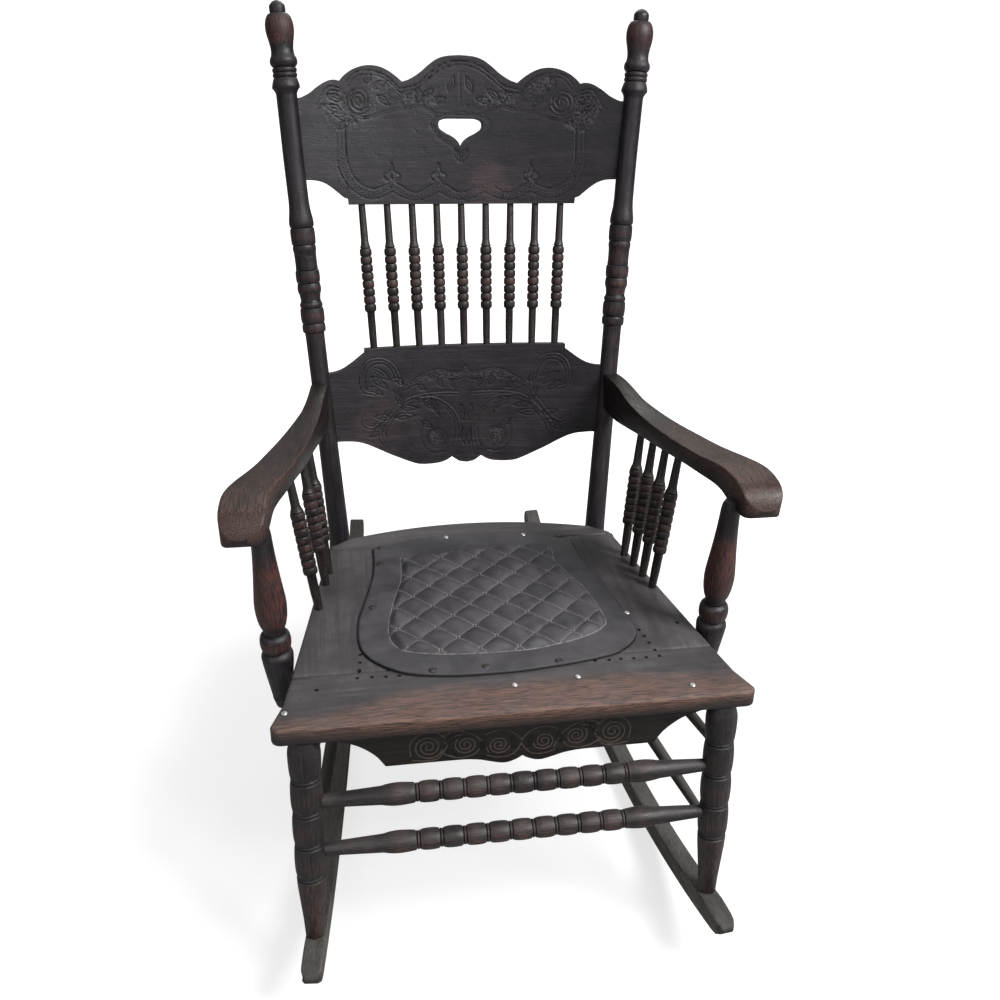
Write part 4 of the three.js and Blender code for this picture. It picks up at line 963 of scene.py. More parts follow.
@dataclass
class PressedBoard:
    """A sawn board with pressed ornament, bent about the back if it has a bow."""

    name: str
    lower: np.ndarray
    upper: np.ndarray
    breaks: list[float]
    thickness: float
    spacing: float
    bow: float = 0.0
    bow_half: float = 1.0
    hole: Places | None = None
    edge: float = 1.4

    def columns(self) -> np.ndarray:
        """Places of the mesh columns, close together, with one at each break of the outline."""
        out: list[float] = []
        for start, end in zip(self.breaks, self.breaks[1:]):
            count = max(1, round((end - start) / self.spacing))
            out.extend(np.linspace(start, end, count, endpoint=False))
        out.append(self.breaks[-1])
        return np.array(out)

    def blank(self, rows: int) -> Piece:
        """The board's face as a fine flat grid between its lower and upper outline.

        Args:
            rows: How many rows of faces the grid has.

        Returns:
            The face, with the hand hole cut if it has one.
        """
        columns = self.columns()
        clear_selection()
        bpy.ops.mesh.primitive_grid_add(
            x_subdivisions=len(columns) - 1, y_subdivisions=rows, size=2.0)
        piece = named(self.name)
        unit = points_of(piece)
        column = np.rint((unit[:, 0] + 1) / 2 * (len(columns) - 1)).astype(int)
        x = columns[column]
        share = (unit[:, 1] + 1) / 2
        low = np.interp(x, self.lower[:, 0], self.lower[:, 1])
        high = np.interp(x, self.upper[:, 0], self.upper[:, 1])
        y = low + (high - low) * share
        set_points(piece, np.stack([x, y, np.zeros(len(x))], 1) * MM)
        if self.hole is not None:
            self.cut_hole(piece)
        return piece

    def cut_hole(self, piece: Piece) -> None:
        """Deletes the faces inside the hand hole and draws its rim to the outline."""
        outline = np.array(self.hole)
        centres = np.array([face.center[:2] for face in piece.data.polygons]) / MM
        inside = inside_outline(centres, outline)
        make_active(piece)
        with editing("FACE", "DESELECT"):
            pass  # only the faces chosen below are to be selected
        for face, chosen in zip(piece.data.polygons, inside):
            face.select = bool(chosen)
        with editing(action=None):
            bpy.ops.mesh.delete(type="FACE")
        used: dict[tuple[int, int], int] = {}
        for face in piece.data.polygons:
            for key in face.edge_keys:
                used[key] = used.get(key, 0) + 1
        points = points_of(piece)
        near = KDTree(len(outline))
        for i, (x, y) in enumerate(outline):
            near.insert((x, y, 0.0), i)
        near.balance()
        for index in {i for key, count in used.items() if count == 1 for i in key}:
            x, y = points[index, :2] / MM
            place, _, away = near.find((x, y, 0.0))
            if away < self.spacing * 3:
                points[index, :2] = place[0] * MM, place[1] * MM
        set_points(piece, points)

    def build(self, rows: int, pressing: Pressing, matrix: Matrix, seed: float) -> Piece:
        """The whole board with its thickness, edges, ornament and bow.

        Args:
            rows: How many rows of faces its front has.
            pressing: The ornament on its front.
            matrix: The chair frame that it stands in.
            seed: Sets its grain apart.

        Returns:
            The board in its place.
        """
        piece = self.blank(rows)
        apply_modifier(piece, "SOLIDIFY", thickness=self.thickness * MM, offset=0.0)
        recalculate(piece)
        apply_modifier(
            piece, "BEVEL", width=self.edge * MM, segments=2, limit_method="ANGLE",
            angle_limit=math.radians(50.0))
        points = points_of(piece) / MM
        front = points[:, 2] > self.thickness / 2 - 0.01
        relief = np.zeros(len(points))
        relief[front] = pressing.heights(points[front, :2])
        border = self.edge_distance(points[:, :2])
        worn = 0.32 * (1.0 - rise_between(0.5, 5.0, border)) + 0.1
        worn += pressing.rubs(points[:, :2])
        store(piece, "pitted", pressing.pits(points[:, :2]) * front)
        # The relief also drives the finish's painted highlight on ridges and painted shade in
        # grooves.
        store(piece, "relief", relief)
        store(piece, "worn", worn)
        store_grain(piece, (1, 2, 0), seed)
        points[:, 2] += relief - self.bow * (1.0 - (points[:, 0] / self.bow_half) ** 2)
        set_points(piece, points * MM)
        smooth_shading(piece, 45.0)
        apply_place(piece, row_matrix(matrix))
        return piece

    def edge_distance(self, points: np.ndarray) -> np.ndarray:
        """How far points on the board are from its lower and upper outline."""
        low = np.interp(points[:, 0], self.lower[:, 0], self.lower[:, 1])
        high = np.interp(points[:, 0], self.upper[:, 0], self.upper[:, 1])
        return np.minimum(points[:, 1] - low, high - points[:, 1])


def inside_outline(points: np.ndarray, outline: np.ndarray) -> np.ndarray:
    """Which points lie inside a closed outline."""
    inside = np.zeros(len(points), bool)
    for (x0, y0), (x1, y1) in zip(outline, np.roll(outline, -1, axis=0)):
        crosses = (y0 > points[:, 1]) != (y1 > points[:, 1])
        if abs(y1 - y0) > 1e-9:
            place = x0 + (points[:, 1] - y0) * (x1 - x0) / (y1 - y0)
            inside ^= crosses & (points[:, 0] < place)
    return inside


def outline_distance(points: np.ndarray, outline: np.ndarray) -> np.ndarray:
    """How far points are from a closed outline, negative outside it."""
    away = np.full(len(points), 1e9)
    for start, end in zip(outline, np.roll(outline, -1, axis=0)):
        along = end - start
        size = max(float(along @ along), 1e-9)
        share = np.clip(((points - start) @ along) / size, 0.0, 1.0)
        nearest = start + share[:, None] * along
        away = np.minimum(away, np.linalg.norm(points - nearest, axis=1))
    return np.where(inside_outline(points, outline), away, -away)


def both_ways(right: list[np.ndarray]) -> np.ndarray:
    """An outline's stretches from the middle to the right, with their mirror image before them."""
    half = np.concatenate(right)
    left = half[::-1] * (-1.0, 1.0)
    return np.concatenate([left[:-1] if half[0, 0] == 0 else left, half])


@dataclass
class Backrest:
    """The crest rail, the lower back rail and the beaded spindles between them."""

    rail_thickness: float = 15.0
    crest_bow: float = 46.0
    crest_bottom: float = 463.5
    crest_peak: float = 654.6
    crest_reach: float = 222.0
    low_bow: float = 33.5
    low_top: float = 269.8
    low_reach: float = 199.0
    hole_half: float = 30.2
    hole_top: float = 575.4
    hole_tip: float = 538.7
    spindle_count: int = 9
    top_pitch: float = 34.6
    foot_pitch: float = 32.5

    def build(self) -> None:
        """Makes and hands over every piece of the backrest."""
        wood = BACK_WOOD.material()
        hand_over(self.crest(), wood, "back_wood", "crest_rail")
        hand_over(self.low_rail(), wood, "back_wood", "lower_back_rail")
        self.spindles()

    def crest(self) -> Piece:
        """The crest rail with its lobes, hand hole and pressed scrolls."""
        hump = [(0, 654.4), (18, 653), (31, 649), (43, 641), (54, 632), (67, 624), (78, 620)]
        lobe = [(78, 620), (86, 626.5), (95, 632.5), (107, 637.5), (120, 639),
                (133, 637), (146, 631.5), (156, 624), (161, 618.5)]
        shoulder = [(161, 618.5), (168, 619.5), (177, 617.5), (189, 610.5),
                    (200, 602), (212, 596), (self.crest_reach, 595)]
        upper = [curve_through(part, 10) for part in (hump, lobe, shoulder)]
        under = [(156.6, 471), (162, 473), (168, 478), (178, 486),
                 (187, 491.5), (199, 494.7), (self.crest_reach, 495.3)]
        flat = np.array([(0.0, self.crest_bottom), (156.0, self.crest_bottom)])
        lower = [flat, curve_through(under, 8)]
        marks = [156.6, 156.0, 78.0, 161.0, self.hole_half]
        right = sorted({*marks, self.crest_reach})
        breaks = [-x for x in reversed(right)] + [0.0] + right
        board = PressedBoard(
            "crest_board", both_ways(lower), both_ways(upper), breaks, self.rail_thickness,
            spacing=1.3, bow=self.crest_bow, bow_half=CHAIR.post_half_at(self.crest_peak),
            hole=self.hole_outline())
        return board.build(128, self.crest_pressing(), CHAIR.back_matrix, seed=1.0)

    def hole_outline(self) -> Places:
        """The hand hole: a nearly straight top, round ends, and sides drawn down to a tip."""
        height = self.hole_top - self.hole_tip
        shares = [(0, 0), (0.14, 0.2), (0.38, 0.36), (0.72, 0.5), (0.97, 0.66),
                  (0.97, 0.88), (0.72, 0.985), (0.35, 1), (0, 1)]
        right = curve_through(
            [(x * self.hole_half, self.hole_tip + y * height) for x, y in shares], 10)
        left = right[::-1] * (-1.0, 1.0)
        return [tuple(place) for place in np.concatenate([right, left[1:-1]])]

    def crest_pressing(self) -> Pressing:
        """The crest's ornament: scrolls, leaves, a beaded border and three-lobed sprigs."""
        pressing = Pressing()
        fine, roll, cut = Line.FINE, Line.ROLL, Line.CUT
        for places in (
            [(191, 588), (178, 609), (168, 611), (156, 607)],
            [(152, 617), (140, 629), (123, 632), (106, 629), (94, 622), (82, 611)],
            [(82, 611), (72, 613), (59, 617), (40, 632), (26, 641), (12, 646), (0, 647)],
        ):
            pressing.stroke(cut, places)
            pressing.stroke(cut, [(x * 0.985, y - 5.0) for x, y in places])
        pressing.spiral(roll, (137, 595), 16, 4, 2.0, 200)
        pressing.stroke(fine, [
            (154, 601), (157, 589), (144, 576), (126, 574), (106, 580), (87, 585), (70, 587),
            (55, 590), (41, 584), (28, 579), (6, 581), (0, 581)])
        pressing.stroke(fine, [(101, 602), (92, 608), (81, 603), (90, 597), (101, 602)])
        for leaf in (
            (140, 568, 173, 578, 9), (150, 570, 166, 558, 7),
            (160, 582, 184, 588, 8), (158, 594, 180, 601, 8),
            (118, 610, 100, 620, 8), (128, 616, 120, 628, 7),
            (112, 602, 96, 590, 7), (74, 600, 60, 608, 7),
            (52, 600, 36, 612, 8), (40, 596, 20, 600, 7),
            (66, 596, 48, 600, 6), (16, 608, 8, 628, 8),
            (9, 536, 1, 518, 7),
        ):
            pressing.leaf(*leaf)
        pressing.stroke(cut, [(0, 600), (0, 634)], False)
        pressing.spiral(cut, (58, 603), 8, 3, 1.3, 0)
        pressing.stroke(fine, [(28, 580), (38, 572), (38, 563), (30, 551), (15, 541), (6, 535),
                               (0, 526)])
        pressing.stipple([
            (190, 590), (178, 606), (158, 604), (156, 588), (146, 572), (138, 562), (166, 554),
            (178, 566)])
        pressing.stipple([
            (124, 612), (104, 606), (88, 610), (96, 620), (110, 627), (126, 629)])
        pressing.stipple([(84, 592), (60, 594), (34, 588), (20, 592), (34, 606), (70, 610)])
        outer = [(168, 566), (168, 540), (168, 515), (163, 499), (154, 486), (141, 476),
                 (127, 471), (111, 473), (96, 480)]
        pressing.stroke(cut, outer)
        pressing.stroke(cut, [(96, 480), (80, 472), (64, 469), (48, 472), (32, 480)])
        pressing.stroke(cut, [(32, 480), (16, 472), (0, 469)])
        pressing.stroke(cut, [(156, 566), (156, 534), (155, 519), (150, 504), (143, 494),
                              (133, 487), (120, 484), (110, 487)])
        pressing.stroke(cut, [(82, 487), (73, 481), (64, 479), (55, 481), (46, 487)])
        pressing.stroke(cut, [(18, 487), (9, 481), (0, 479)])
        pressing.stroke(cut, [(162, 566), (162, 534)])
        for centre in (-96, -32, 96):
            pressing.trefoil(centre, 487)
        pressing.rubbed += [(34, 492, 24, 0.7), (60, 500, 40, 0.3), (-60, 600, 60, 0.15)]
        for places in (
            [(162, 530), (160, 512), (153, 496), (141, 483), (127, 477), (112, 479), (97, 487)],
            [(95, 487), (79, 478), (64, 474), (49, 478), (33, 487)],
            [(31, 487), (15, 478), (0, 474)],
        ):
            pressing.dots([tuple(place) for place in curve_through(places, 3)])
        return pressing

    def low_rail(self) -> Piece:
        """The lower back rail with its ogee underside and pressed tendrils."""
        point = [(0, 95.9), (11.3, 98.2), (21.7, 105.4)]
        under = [(21.7, 105.4), (30, 100.3), (41.3, 97), (62.1, 96.1), (79, 99.5),
                 (112.6, 115), (150, 134.5), (175, 139.8), (self.low_reach, 140.6)]
        lower = [curve_through(point, 8), curve_through(under, 10)]
        corner = np.array([(0.0, self.low_top), (143.9, self.low_top)])
        concave = [(144.3, 263.3), (152, 257.8), (163, 249.8), (177, 241.8),
                   (190, 238.7), (self.low_reach, 238.4)]
        upper = [corner, curve_through(concave, 8)]
        right = [21.7, 143.9, 144.3, self.low_reach]
        breaks = [-x for x in reversed(right)] + [0.0] + right
        board = PressedBoard(
            "lower_back_board", both_ways(lower), both_ways(upper), breaks,
            self.rail_thickness, spacing=1.25, bow=self.low_bow,
            bow_half=CHAIR.post_half_at(self.low_top))
        return board.build(134, self.low_pressing(), CHAIR.back_matrix, seed=2.0)

    def low_pressing(self) -> Pressing:
        """The lower rail's ornament: great curls, tendrils, leaves and a flower garland."""
        pressing = Pressing()
        fine, roll, cut = Line.FINE, Line.ROLL, Line.CUT
        for places in (
            [(132, 205), (147, 211), (151, 228), (146, 245), (134, 254), (116, 253), (101, 240),
             (95, 219), (98, 198), (111, 181), (124, 165), (138, 156), (149, 163), (148, 172)],
            [(123, 132), (127, 149), (117, 164), (102, 180), (87, 193), (66, 199), (39, 201),
             (10, 200)],
            [(72, 195), (51, 195), (36, 190), (21, 178), (13, 164), (9, 148), (10, 130),
             (14, 110)],
        ):
            pressing.stroke(roll, places)
        for places in (
            [(142, 212), (145, 227), (140, 240), (130, 247), (116, 246), (106, 235), (102, 219)],
            [(118, 140), (116, 152), (104, 168), (91, 183), (72, 189), (56, 188)],
            [(30, 178), (20, 166), (17, 150), (18, 134), (22, 120)],
            [(88, 207), (62, 219), (39, 223), (14, 219), (0, 224)],
            [(86, 214), (62, 230), (39, 236), (12, 230), (0, 240)],
        ):
            pressing.stroke(cut, places)
        for leaf in (
            (133, 242, 108, 222, 9), (136, 230, 112, 210, 8),
            (138, 216, 120, 202, 7), (105, 169, 74, 170, 9),
            (96, 182, 70, 180, 7), (118, 158, 142, 142, 9),
            (110, 168, 134, 172, 8), (92, 186, 104, 206, 8),
            (64, 193, 44, 176, 8), (52, 194, 40, 168, 7),
            (66, 160, 50, 150, 8),
            (70, 214, 58, 206, 7), (42, 222, 34, 210, 7),
            (90, 216, 104, 226, 7), (22, 222, 18, 208, 6),
            (8, 184, 4, 158, 7), (6, 150, 3, 122, 6),
        ):
            pressing.leaf(*leaf)
        pressing.spiral(fine, (42, 135), 17, 4, -1.9, 60)
        pressing.stroke(cut, [(62, 158), (67, 140), (62, 122), (48, 112), (32, 114)])
        pressing.stroke(cut, [(44, 148), (54, 144), (57, 134), (50, 124)])
        pressing.rubbed += [(-130, 160, 70, 0.5), (50, 150, 80, 0.35)]
        pressing.dots([(42, 135), (8, 104), (36, 229), (62, 224), (12, 225)])
        garland = curve_through([(86, 212), (74, 221), (60, 226), (39, 230), (22, 226),
                                 (10, 226), (0, 232)], 3)
        pressing.dots([tuple(place) for place in garland])
        pressing.stipple([(84, 214), (60, 228), (40, 234), (14, 228), (16, 222), (60, 220)])
        pressing.stipple([(34, 130), (52, 126), (54, 144), (38, 148)])
        return pressing

    def spindles(self) -> None:
        """Nine beaded spindles, modelled once and copied."""
        wood = SPINDLE_WOOD.material()
        levels = (self.low_top, self.crest_bottom)
        halves = (CHAIR.post_half_at(self.low_top), CHAIR.post_half_at(self.crest_peak))
        bows = (self.low_bow, self.crest_bow)
        first = None
        for i in range(self.spindle_count):
            step = i - (self.spindle_count - 1) / 2
            across = (step * self.foot_pitch, step * self.top_pitch)
            ends = [
                CHAIR.on_back(x, level, -bow * (1.0 - (x / half) ** 2))
                for x, level, bow, half in zip(across, levels, bows, halves)
            ]
            if first is None:
                first = beaded_spindle("beaded_spindle", (ends[1] - ends[0]).length)
            piece = copied(first, f"beaded_spindle_{i + 1}")
            shift_grain(piece, i * 0.37)
            stand(piece, ends[0], ends[1], i * 1.1)
            hand_over(piece, wood, "post_wood", f"back_spindle_{i + 1}")
        bpy.data.objects.remove(first)


def shift_grain(piece: Piece, amount: float) -> None:
    """Moves a copy's grain so that its wood differs from the first one's."""
    data = piece.data.attributes["grain"].data
    values = np.zeros(len(data) * 3)
    data.foreach_get("vector", values)
    data.foreach_set("vector", values + amount)


def beaded_spindle(name: str, length: float, stoutness: float = 1.0) -> Piece:
    """A spindle along +Z with a plain foot, eight beads and a plain tapered top.

    Args:
        name: The piece's name.
        length: The distance between the faces that it stands between.
        stoutness: How much thicker it is than a back spindle.

    Returns:
        The spindle, with its ends run a little into those faces.
    """
    foot, last, bell, tuck = 0.259, 0.702, 0.748, 4.0
    plain, crown, edge, deep = (size * stoutness for size in (10.8, 16.6, 15.2, 12.0))
    profile = Profile(wear=0.15, steps=6)
    profile.to(-tuck, 9.8).to(length * foot * 0.5, plain).to(length * foot - 2, plain)
    pitch = (last - foot) * length / 8
    for bead in range(8):
        start = length * foot + bead * pitch
        profile.cut(start, deep).rubbed(0.2 + 0.5 * ((bead * 5) % 8) / 8)
        profile.to(start + pitch * 0.07, edge).bead(start + pitch * 0.93, crown, edge, 0.5)
    profile.cut(length * last, deep).rubbed(0.15).to(length * last + 1, edge * 0.97)
    profile.to(length * (last + bell) / 2, plain * 1.12).to(length * bell, plain * 0.98)
    profile.to(length + tuck, 9.4)
    return turned(name, profile, sides=24, seed=3.0)


@dataclass
class Posts:
    """The two back posts, each with its rear leg, knee, turnings and finial."""

    finial_lean: float = 2.4
    finial_span: tuple[float, float] = (560.0, 640.0)
    bend_reach: float = 22.0
    sides: int = 44

    def build(self) -> None:
        """Makes the right post, mirrors it, and hands both over."""
        wood = POST_WOOD.material()
        low = (CHAIR.knee - CHAIR.rear_foot).length
        right = turned("back_post", self.profile(low), self.sides, seed=4.0)
        self.bend(right)
        left = mirrored(right, "back_post_turned_left")
        shift_grain(left, 2.3)
        right.name = "back_post_turned_right"
        for piece in (right, left):
            self.lean_finial(piece)
        hand_over_pair(right, left, wood, "post_wood", "back_post")

    def lean_finial(self, piece: Piece) -> None:
        """Leans a post's finial a little to the right, as the old timber has moved."""
        points = points_of(piece)
        starts, stops = (row(CHAIR.knee + CHAIR.post_rise * up).z for up in self.finial_span)
        points[:, 0] += self.finial_lean * MM * rise_between(starts, stops, points[:, 2])
        set_points(piece, points)

    def profile(self, low: float) -> Profile:
        """The post's profile by distance from its knee, with the rear leg below it."""
        shape = Profile(wear=0.1, steps=8)
        shape.to(-low - 4, 20.8).to(-low * 0.88, 22.4).to(-low * 0.72, 27.5).to(-low * 0.58, 31.4)
        shape.rubbed(0.3).to(-low * 0.4, 33).groove(3, 30.5).bead(-low * 0.262, 33.4, 32.6, 1)
        shape.groove(3, 30).rubbed(0.12).to(-low * 0.1, 30.2).to(0, 29.5).rubbed(0.3).to(110, 27.4)
        shape.to(230.5, 25.7).to(290, 25.9).rubbed(0.45).to(296, 26.4).cut(297, 26.8).to(298, 30.4)
        shape.bead(308.3, 31.6, 30.6).cut(309.5, 28.6).to(310.7, 30.8).bead(329.4, 32.2, 31, 0.8)
        shape.cut(330.5, 28.4).to(331.4, 29.8).bead(337.5, 30.6, 28.6).cut(338.6, 27.2)
        shape.to(342, 26.7).to(349, 28.6).rubbed(0.5).bead(362.3, 31.9, 30.4, 1).cut(363.3, 28.6)
        shape.to(364.5, 31).bead(379.5, 32.4, 31.4, 0.8).cut(380.6, 29.2).rubbed(0.4).to(382, 29.6)
        shape.to(388, 28.9).to(398, 29.1).to(404.5, 29.8).bead(412.5, 31, 29.8).cut(413.4, 29)
        shape.to(414.4, 31.4).bead(434.6, 32.6, 31.6, 0.8).cut(435.6, 28.8).to(437, 31.6)
        shape.rubbed(0.1).to(441, 32.6).to(446, 31.9).to(452, 29.9).to(460, 27.7).to(470, 26.6)
        shape.to(520, 26.4).to(599, 26.5).to(602, 27).to(606, 31).to(608.2, 35).to(609.5, 35.4)
        shape.to(614, 33.6).to(619, 30.4).cut(620.5, 28.3).to(621.6, 30.4).bead(625.3, 30.9, 30.2)
        shape.cut(626.4, 28.2).to(627.4, 30.4).bead(631.2, 31, 30.2).cut(632.5, 27.6).to(634, 31)
        shape.to(637, 34.4).to(640, 34.8).to(643.5, 33.2).to(646, 30).to(650, 28.6).to(655, 28.4)
        shape.rubbed(0.5).to(662, 30.6).to(670, 34.2).to(674, 35.4).to(678, 35.8).to(682, 35.5)
        shape.to(685, 34.6).to(688.5, 32.7).to(691, 30.6).rubbed(0.3).to(693.2, 27.6).to(694.5, 25)
        shape.cut(695.4, 19.4).bead(706, 20.2, 16.5).to(708.5, 12).to(710.4, 3)
        return shape

    def bend(self, piece: Piece) -> None:
        """Bends the straight turning at its knee into the rear leg and the reclined post."""
        knee = CHAIR.knee
        low_rise = (knee - CHAIR.rear_foot).normalized()
        points = points_of(piece) / MM
        turns = [
            np.array(rise.to_track_quat("Z", "Y").to_matrix())
            for rise in (low_rise, CHAIR.post_rise)
        ]
        upper = rise_between(-self.bend_reach, self.bend_reach, points[:, 2])[:, None]
        placed = [points @ turn.T for turn in turns]
        bent = placed[0] * (1.0 - upper) + placed[1] * upper
        set_points(piece, (bent + np.array(knee + SHIFT)) * MM)
        smooth_shading(piece)


@dataclass
class Arms:
    """The sawn arms, their turned supports and their beaded spindles."""

    nose_y: float = -124.0
    rear_y: float = 264.0
    support_foot: Vector = field(default_factory=lambda: Vector((265.5, -94.0, 281.0)))
    support_height: float = 534.5
    support_tops: tuple[float, float] = (261.0, 272.0)
    spindle_place: float = 243.0
    spindle_pitch: float = 30.7
    spindle_edge: float = 10.0
    spindle_reach: float = 45.0
    left_spindles: tuple[int, ...] = (1, 3, 4)
    stations: int = 74
    rounding: float = 0.06
    gap: float = 0.4
    inner: Places = (
        (-124, 292), (-122.6, 280), (-118, 269), (-110, 264.5), (-90, 262.5), (-50, 256.5),
        (-3, 242.5), (55, 227), (115, 216), (166, 206.5), (215, 200), (264, 196))
    outer: Places = (
        (-124, 292), (-122, 304), (-114, 311.5), (-93, 313), (-60, 310), (-22, 299), (19, 282),
        (67.6, 266), (114, 252), (159, 237), (185, 228.5), (213.5, 223), (264, 219))
    top: Places = (
        (-124, 538.5), (-123.5, 545), (-119, 554), (-111, 562), (-98, 567.5), (-75, 568.8),
        (-50, 566), (-3, 557), (55, 549), (115, 541.5), (166, 541), (190, 544.5), (213, 546),
        (240, 543), (264, 538))
    under: Places = (
        (-124, 538.5), (-120, 534.5), (-111, 533.5), (-80, 534.5), (-58, 537.5), (-20, 535),
        (22, 530.5), (75, 521.5), (128, 511), (170, 502), (200, 495.5), (235, 491), (264, 493))

    def build(self) -> None:
        """Makes the right side, mirrors or copies it, and hands every piece over."""
        wood = ARM_WOOD.material()
        right = self.arm()
        left = mirrored(right, "sawn_arm_left")
        shift_grain(left, 1.7)
        hand_over_pair(right, left, wood, "arm_wood", "arm")
        turned_wood = POST_WOOD.material()
        support = self.support("turned_support_right", self.support_tops[0])
        first = self.support("support_blank", self.support_tops[1])
        other = mirrored(first, "turned_support_left")
        bpy.data.objects.remove(first)
        shift_grain(other, 1.1)
        hand_over_pair(support, other, turned_wood, "post_wood", "arm_support")
        self.spindles()

    def height_at(self, line: Places, y: float) -> float:
        """A curve's value at a place along the arm."""
        points = curve_through(line, 12)
        return float(np.interp(y, points[:, 0], points[:, 1]))

    def arm(self) -> Piece:
        """The right arm: a rounded section extruded and scaled from its rear end to its nose."""
        share = np.linspace(0.0, 1.0, self.stations)
        places = self.rear_y + (self.nose_y - self.rear_y) * np.sin(share * math.pi / 2) ** 0.9
        lines = (self.inner, self.outer, self.top, self.under)
        curves = [curve_through(line, 16) for line in lines]
        inner, outer, top, under = (
            np.interp(places, curve[:, 0], curve[:, 1]) for curve in curves)
        middles = [((a + b) / 2, (c + d) / 2) for a, b, c, d in zip(inner, outer, top, under)]
        sizes = [
            (max(b - a, 1.0), max(c - d, 1.0)) for a, b, c, d in zip(inner, outer, top, under)]
        clear_selection()
        bpy.ops.mesh.primitive_plane_add(size=1.0, rotation=(math.pi / 2, 0.0, 0.0))
        piece = named("sawn_arm_right")
        bpy.ops.object.transform_apply(location=True, rotation=True, scale=True)
        with editing():
            bpy.ops.mesh.bevel(offset=self.rounding, segments=4, affect="VERTICES")
            bpy.ops.mesh.select_mode(type="FACE")
            bpy.ops.mesh.select_all(action="SELECT")
            size = (sizes[0][0] * MM, 1.0, sizes[0][1] * MM)
            bpy.ops.transform.resize(value=size, center_override=(0.0, 0.0, 0.0))
            start = (middles[0][0] * MM, places[0] * MM, middles[0][1] * MM)
            bpy.ops.transform.translate(value=start)
            for i in range(1, self.stations):
                move = (
                    (middles[i][0] - middles[i - 1][0]) * MM, (places[i] - places[i - 1]) * MM,
                    (middles[i][1] - middles[i - 1][1]) * MM)
                bpy.ops.mesh.extrude_region_move(TRANSFORM_OT_translate={"value": move})
                grow = (sizes[i][0] / sizes[i - 1][0], 1.0, sizes[i][1] / sizes[i - 1][1])
                centre = (middles[i][0] * MM, places[i] * MM, middles[i][1] * MM)
                bpy.ops.transform.resize(value=grow, center_override=centre)
        recalculate(piece)
        self.store_wear(piece, curves)
        store_grain(piece, (0, 2, 1), 5.0)
        smooth_shading(piece, 35.0)
        apply_place(piece, Matrix.Translation(SHIFT * MM))
        return piece

    def store_wear(self, piece: Piece, curves: list[np.ndarray]) -> None:
        """Stores an arm's wear along its upper edges and a darkening of its rear half.

        Args:
            piece: The arm, still in the chair's own frame.
            curves: Its inner and outer side, its top and its underside.
        """
        points = points_of(piece) / MM
        inner, outer, _, under = (
            np.interp(points[:, 1], curve[:, 0], curve[:, 1]) for curve in curves)
        edge = np.minimum(points[:, 0] - inner, outer - points[:, 0])
        above = points[:, 2] > under + 8.0
        front_wear = 0.22 * (1.0 - rise_between(-110.0, 60.0, points[:, 1]))
        along = 1.0 - 0.7 * rise_between(40.0, 200.0, points[:, 1])
        worn = np.where(above, 0.55 * along * (1.0 - rise_between(0.5, 9.0, edge)), 0.05)
        store(piece, "worn", worn + front_wear)
        # Darker towards the rear end, stored as low relief for the finish to darken.
        store(piece, "relief", -0.38 * rise_between(90.0, 230.0, points[:, 1]))

    def support(self, name: str, top_x: float) -> Piece:
        """An arm support on the right, trimmed flat where it lies against the seat's edge."""
        shape = Profile(wear=0.1, steps=8)
        shape.to(0, 12).to(3, 18).rubbed(0.4).to(17, 24.2).groove(3, 22.2).rubbed(0.15).to(48, 31)
        shape.to(72, 36.4).bead(87, 37.4, 31, 0.8).cut(89, 27.6).rubbed(0.55).to(91, 31)
        shape.bead(112.5, 36.2, 30).cut(114.5, 23.4).rubbed(0.4).to(117, 22.8).to(122, 26)
        shape.to(128, 30.4).rubbed(0.6).to(136, 33.8).to(144, 35.6).to(153, 36.4).to(162, 35.8)
        shape.to(176, 33.2).to(190, 30.4).to(205, 27.8).rubbed(0.4).to(222, 25.2).rubbed(0.2)
        shape.to(238, 23.6).to(250, 22.6).to(256, 21).to(262, 16)
        piece = turned(name, shape, sides=40, seed=6.0)
        stand(piece, self.support_foot, Vector((top_x, self.support_foot.y, self.support_height)))
        self.trim(piece)
        return piece

    def trim(self, piece: Piece) -> None:
        """Cuts away what would stand inside the seat's side edge."""
        front = CHAIR.on_seat(CHAIR.seat_front_half + self.gap, 0.0, 0.0)
        rear = CHAIR.on_seat(CHAIR.seat_rear_half + self.gap, CHAIR.seat_side_depth, 0.0)
        up = CHAIR.seat_matrix.to_3x3().col[2]
        out = (rear - front).cross(up).normalized()
        depth, length, height = 40.0, 90.0, CHAIR.seat_thickness + 0.6
        middle = self.support_foot + out * ((front - self.support_foot).dot(out) - depth / 2)
        seat_top = CHAIR.on_seat(0.0, self.support_foot.y - CHAIR.seat_front_y, 0.0)
        middle.z = seat_top.z - CHAIR.seat_thickness / 2
        clear_selection()
        bpy.ops.mesh.primitive_cube_add(
            size=1.0, location=row(middle), rotation=out.to_track_quat("X", "Z").to_euler(),
            scale=(depth * MM, length * MM, height * MM))
        tool = bpy.context.active_object
        apply_modifier(piece, "BOOLEAN", object=tool, operation="DIFFERENCE", solver="EXACT")
        bpy.data.objects.remove(tool)
        smooth_shading(piece)

    def spindles(self) -> None:
        """Four beaded spindles on the right; the left has lost its second one."""
        wood = SPINDLE_WOOD.material()
        for index in range(4):
            back = self.spindle_place + index * self.spindle_pitch
            across = CHAIR.seat_half_at(back) - self.spindle_edge
            foot = CHAIR.on_seat(across, back, 0.0)
            y = foot.y + self.spindle_reach
            middle = (self.height_at(self.inner, y) + self.height_at(self.outer, y)) / 2
            top = Vector((middle, y, self.height_at(self.under, y)))
            for side in Side:
                if side is Side.LEFT and index + 1 not in self.left_spindles:
                    continue
                ends = [on_side(end, side) for end in (foot, top)]
                name = f"{side.word}_{index + 1}"
                piece = beaded_spindle(f"arm_beaded_{name}", (top - foot).length, 1.12)
                shift_grain(piece, index * 0.53 + side.value)
                stand(piece, ends[0], ends[1], index * 0.9)
                hand_over(piece, wood, "post_wood", f"arm_spindle_{name}")


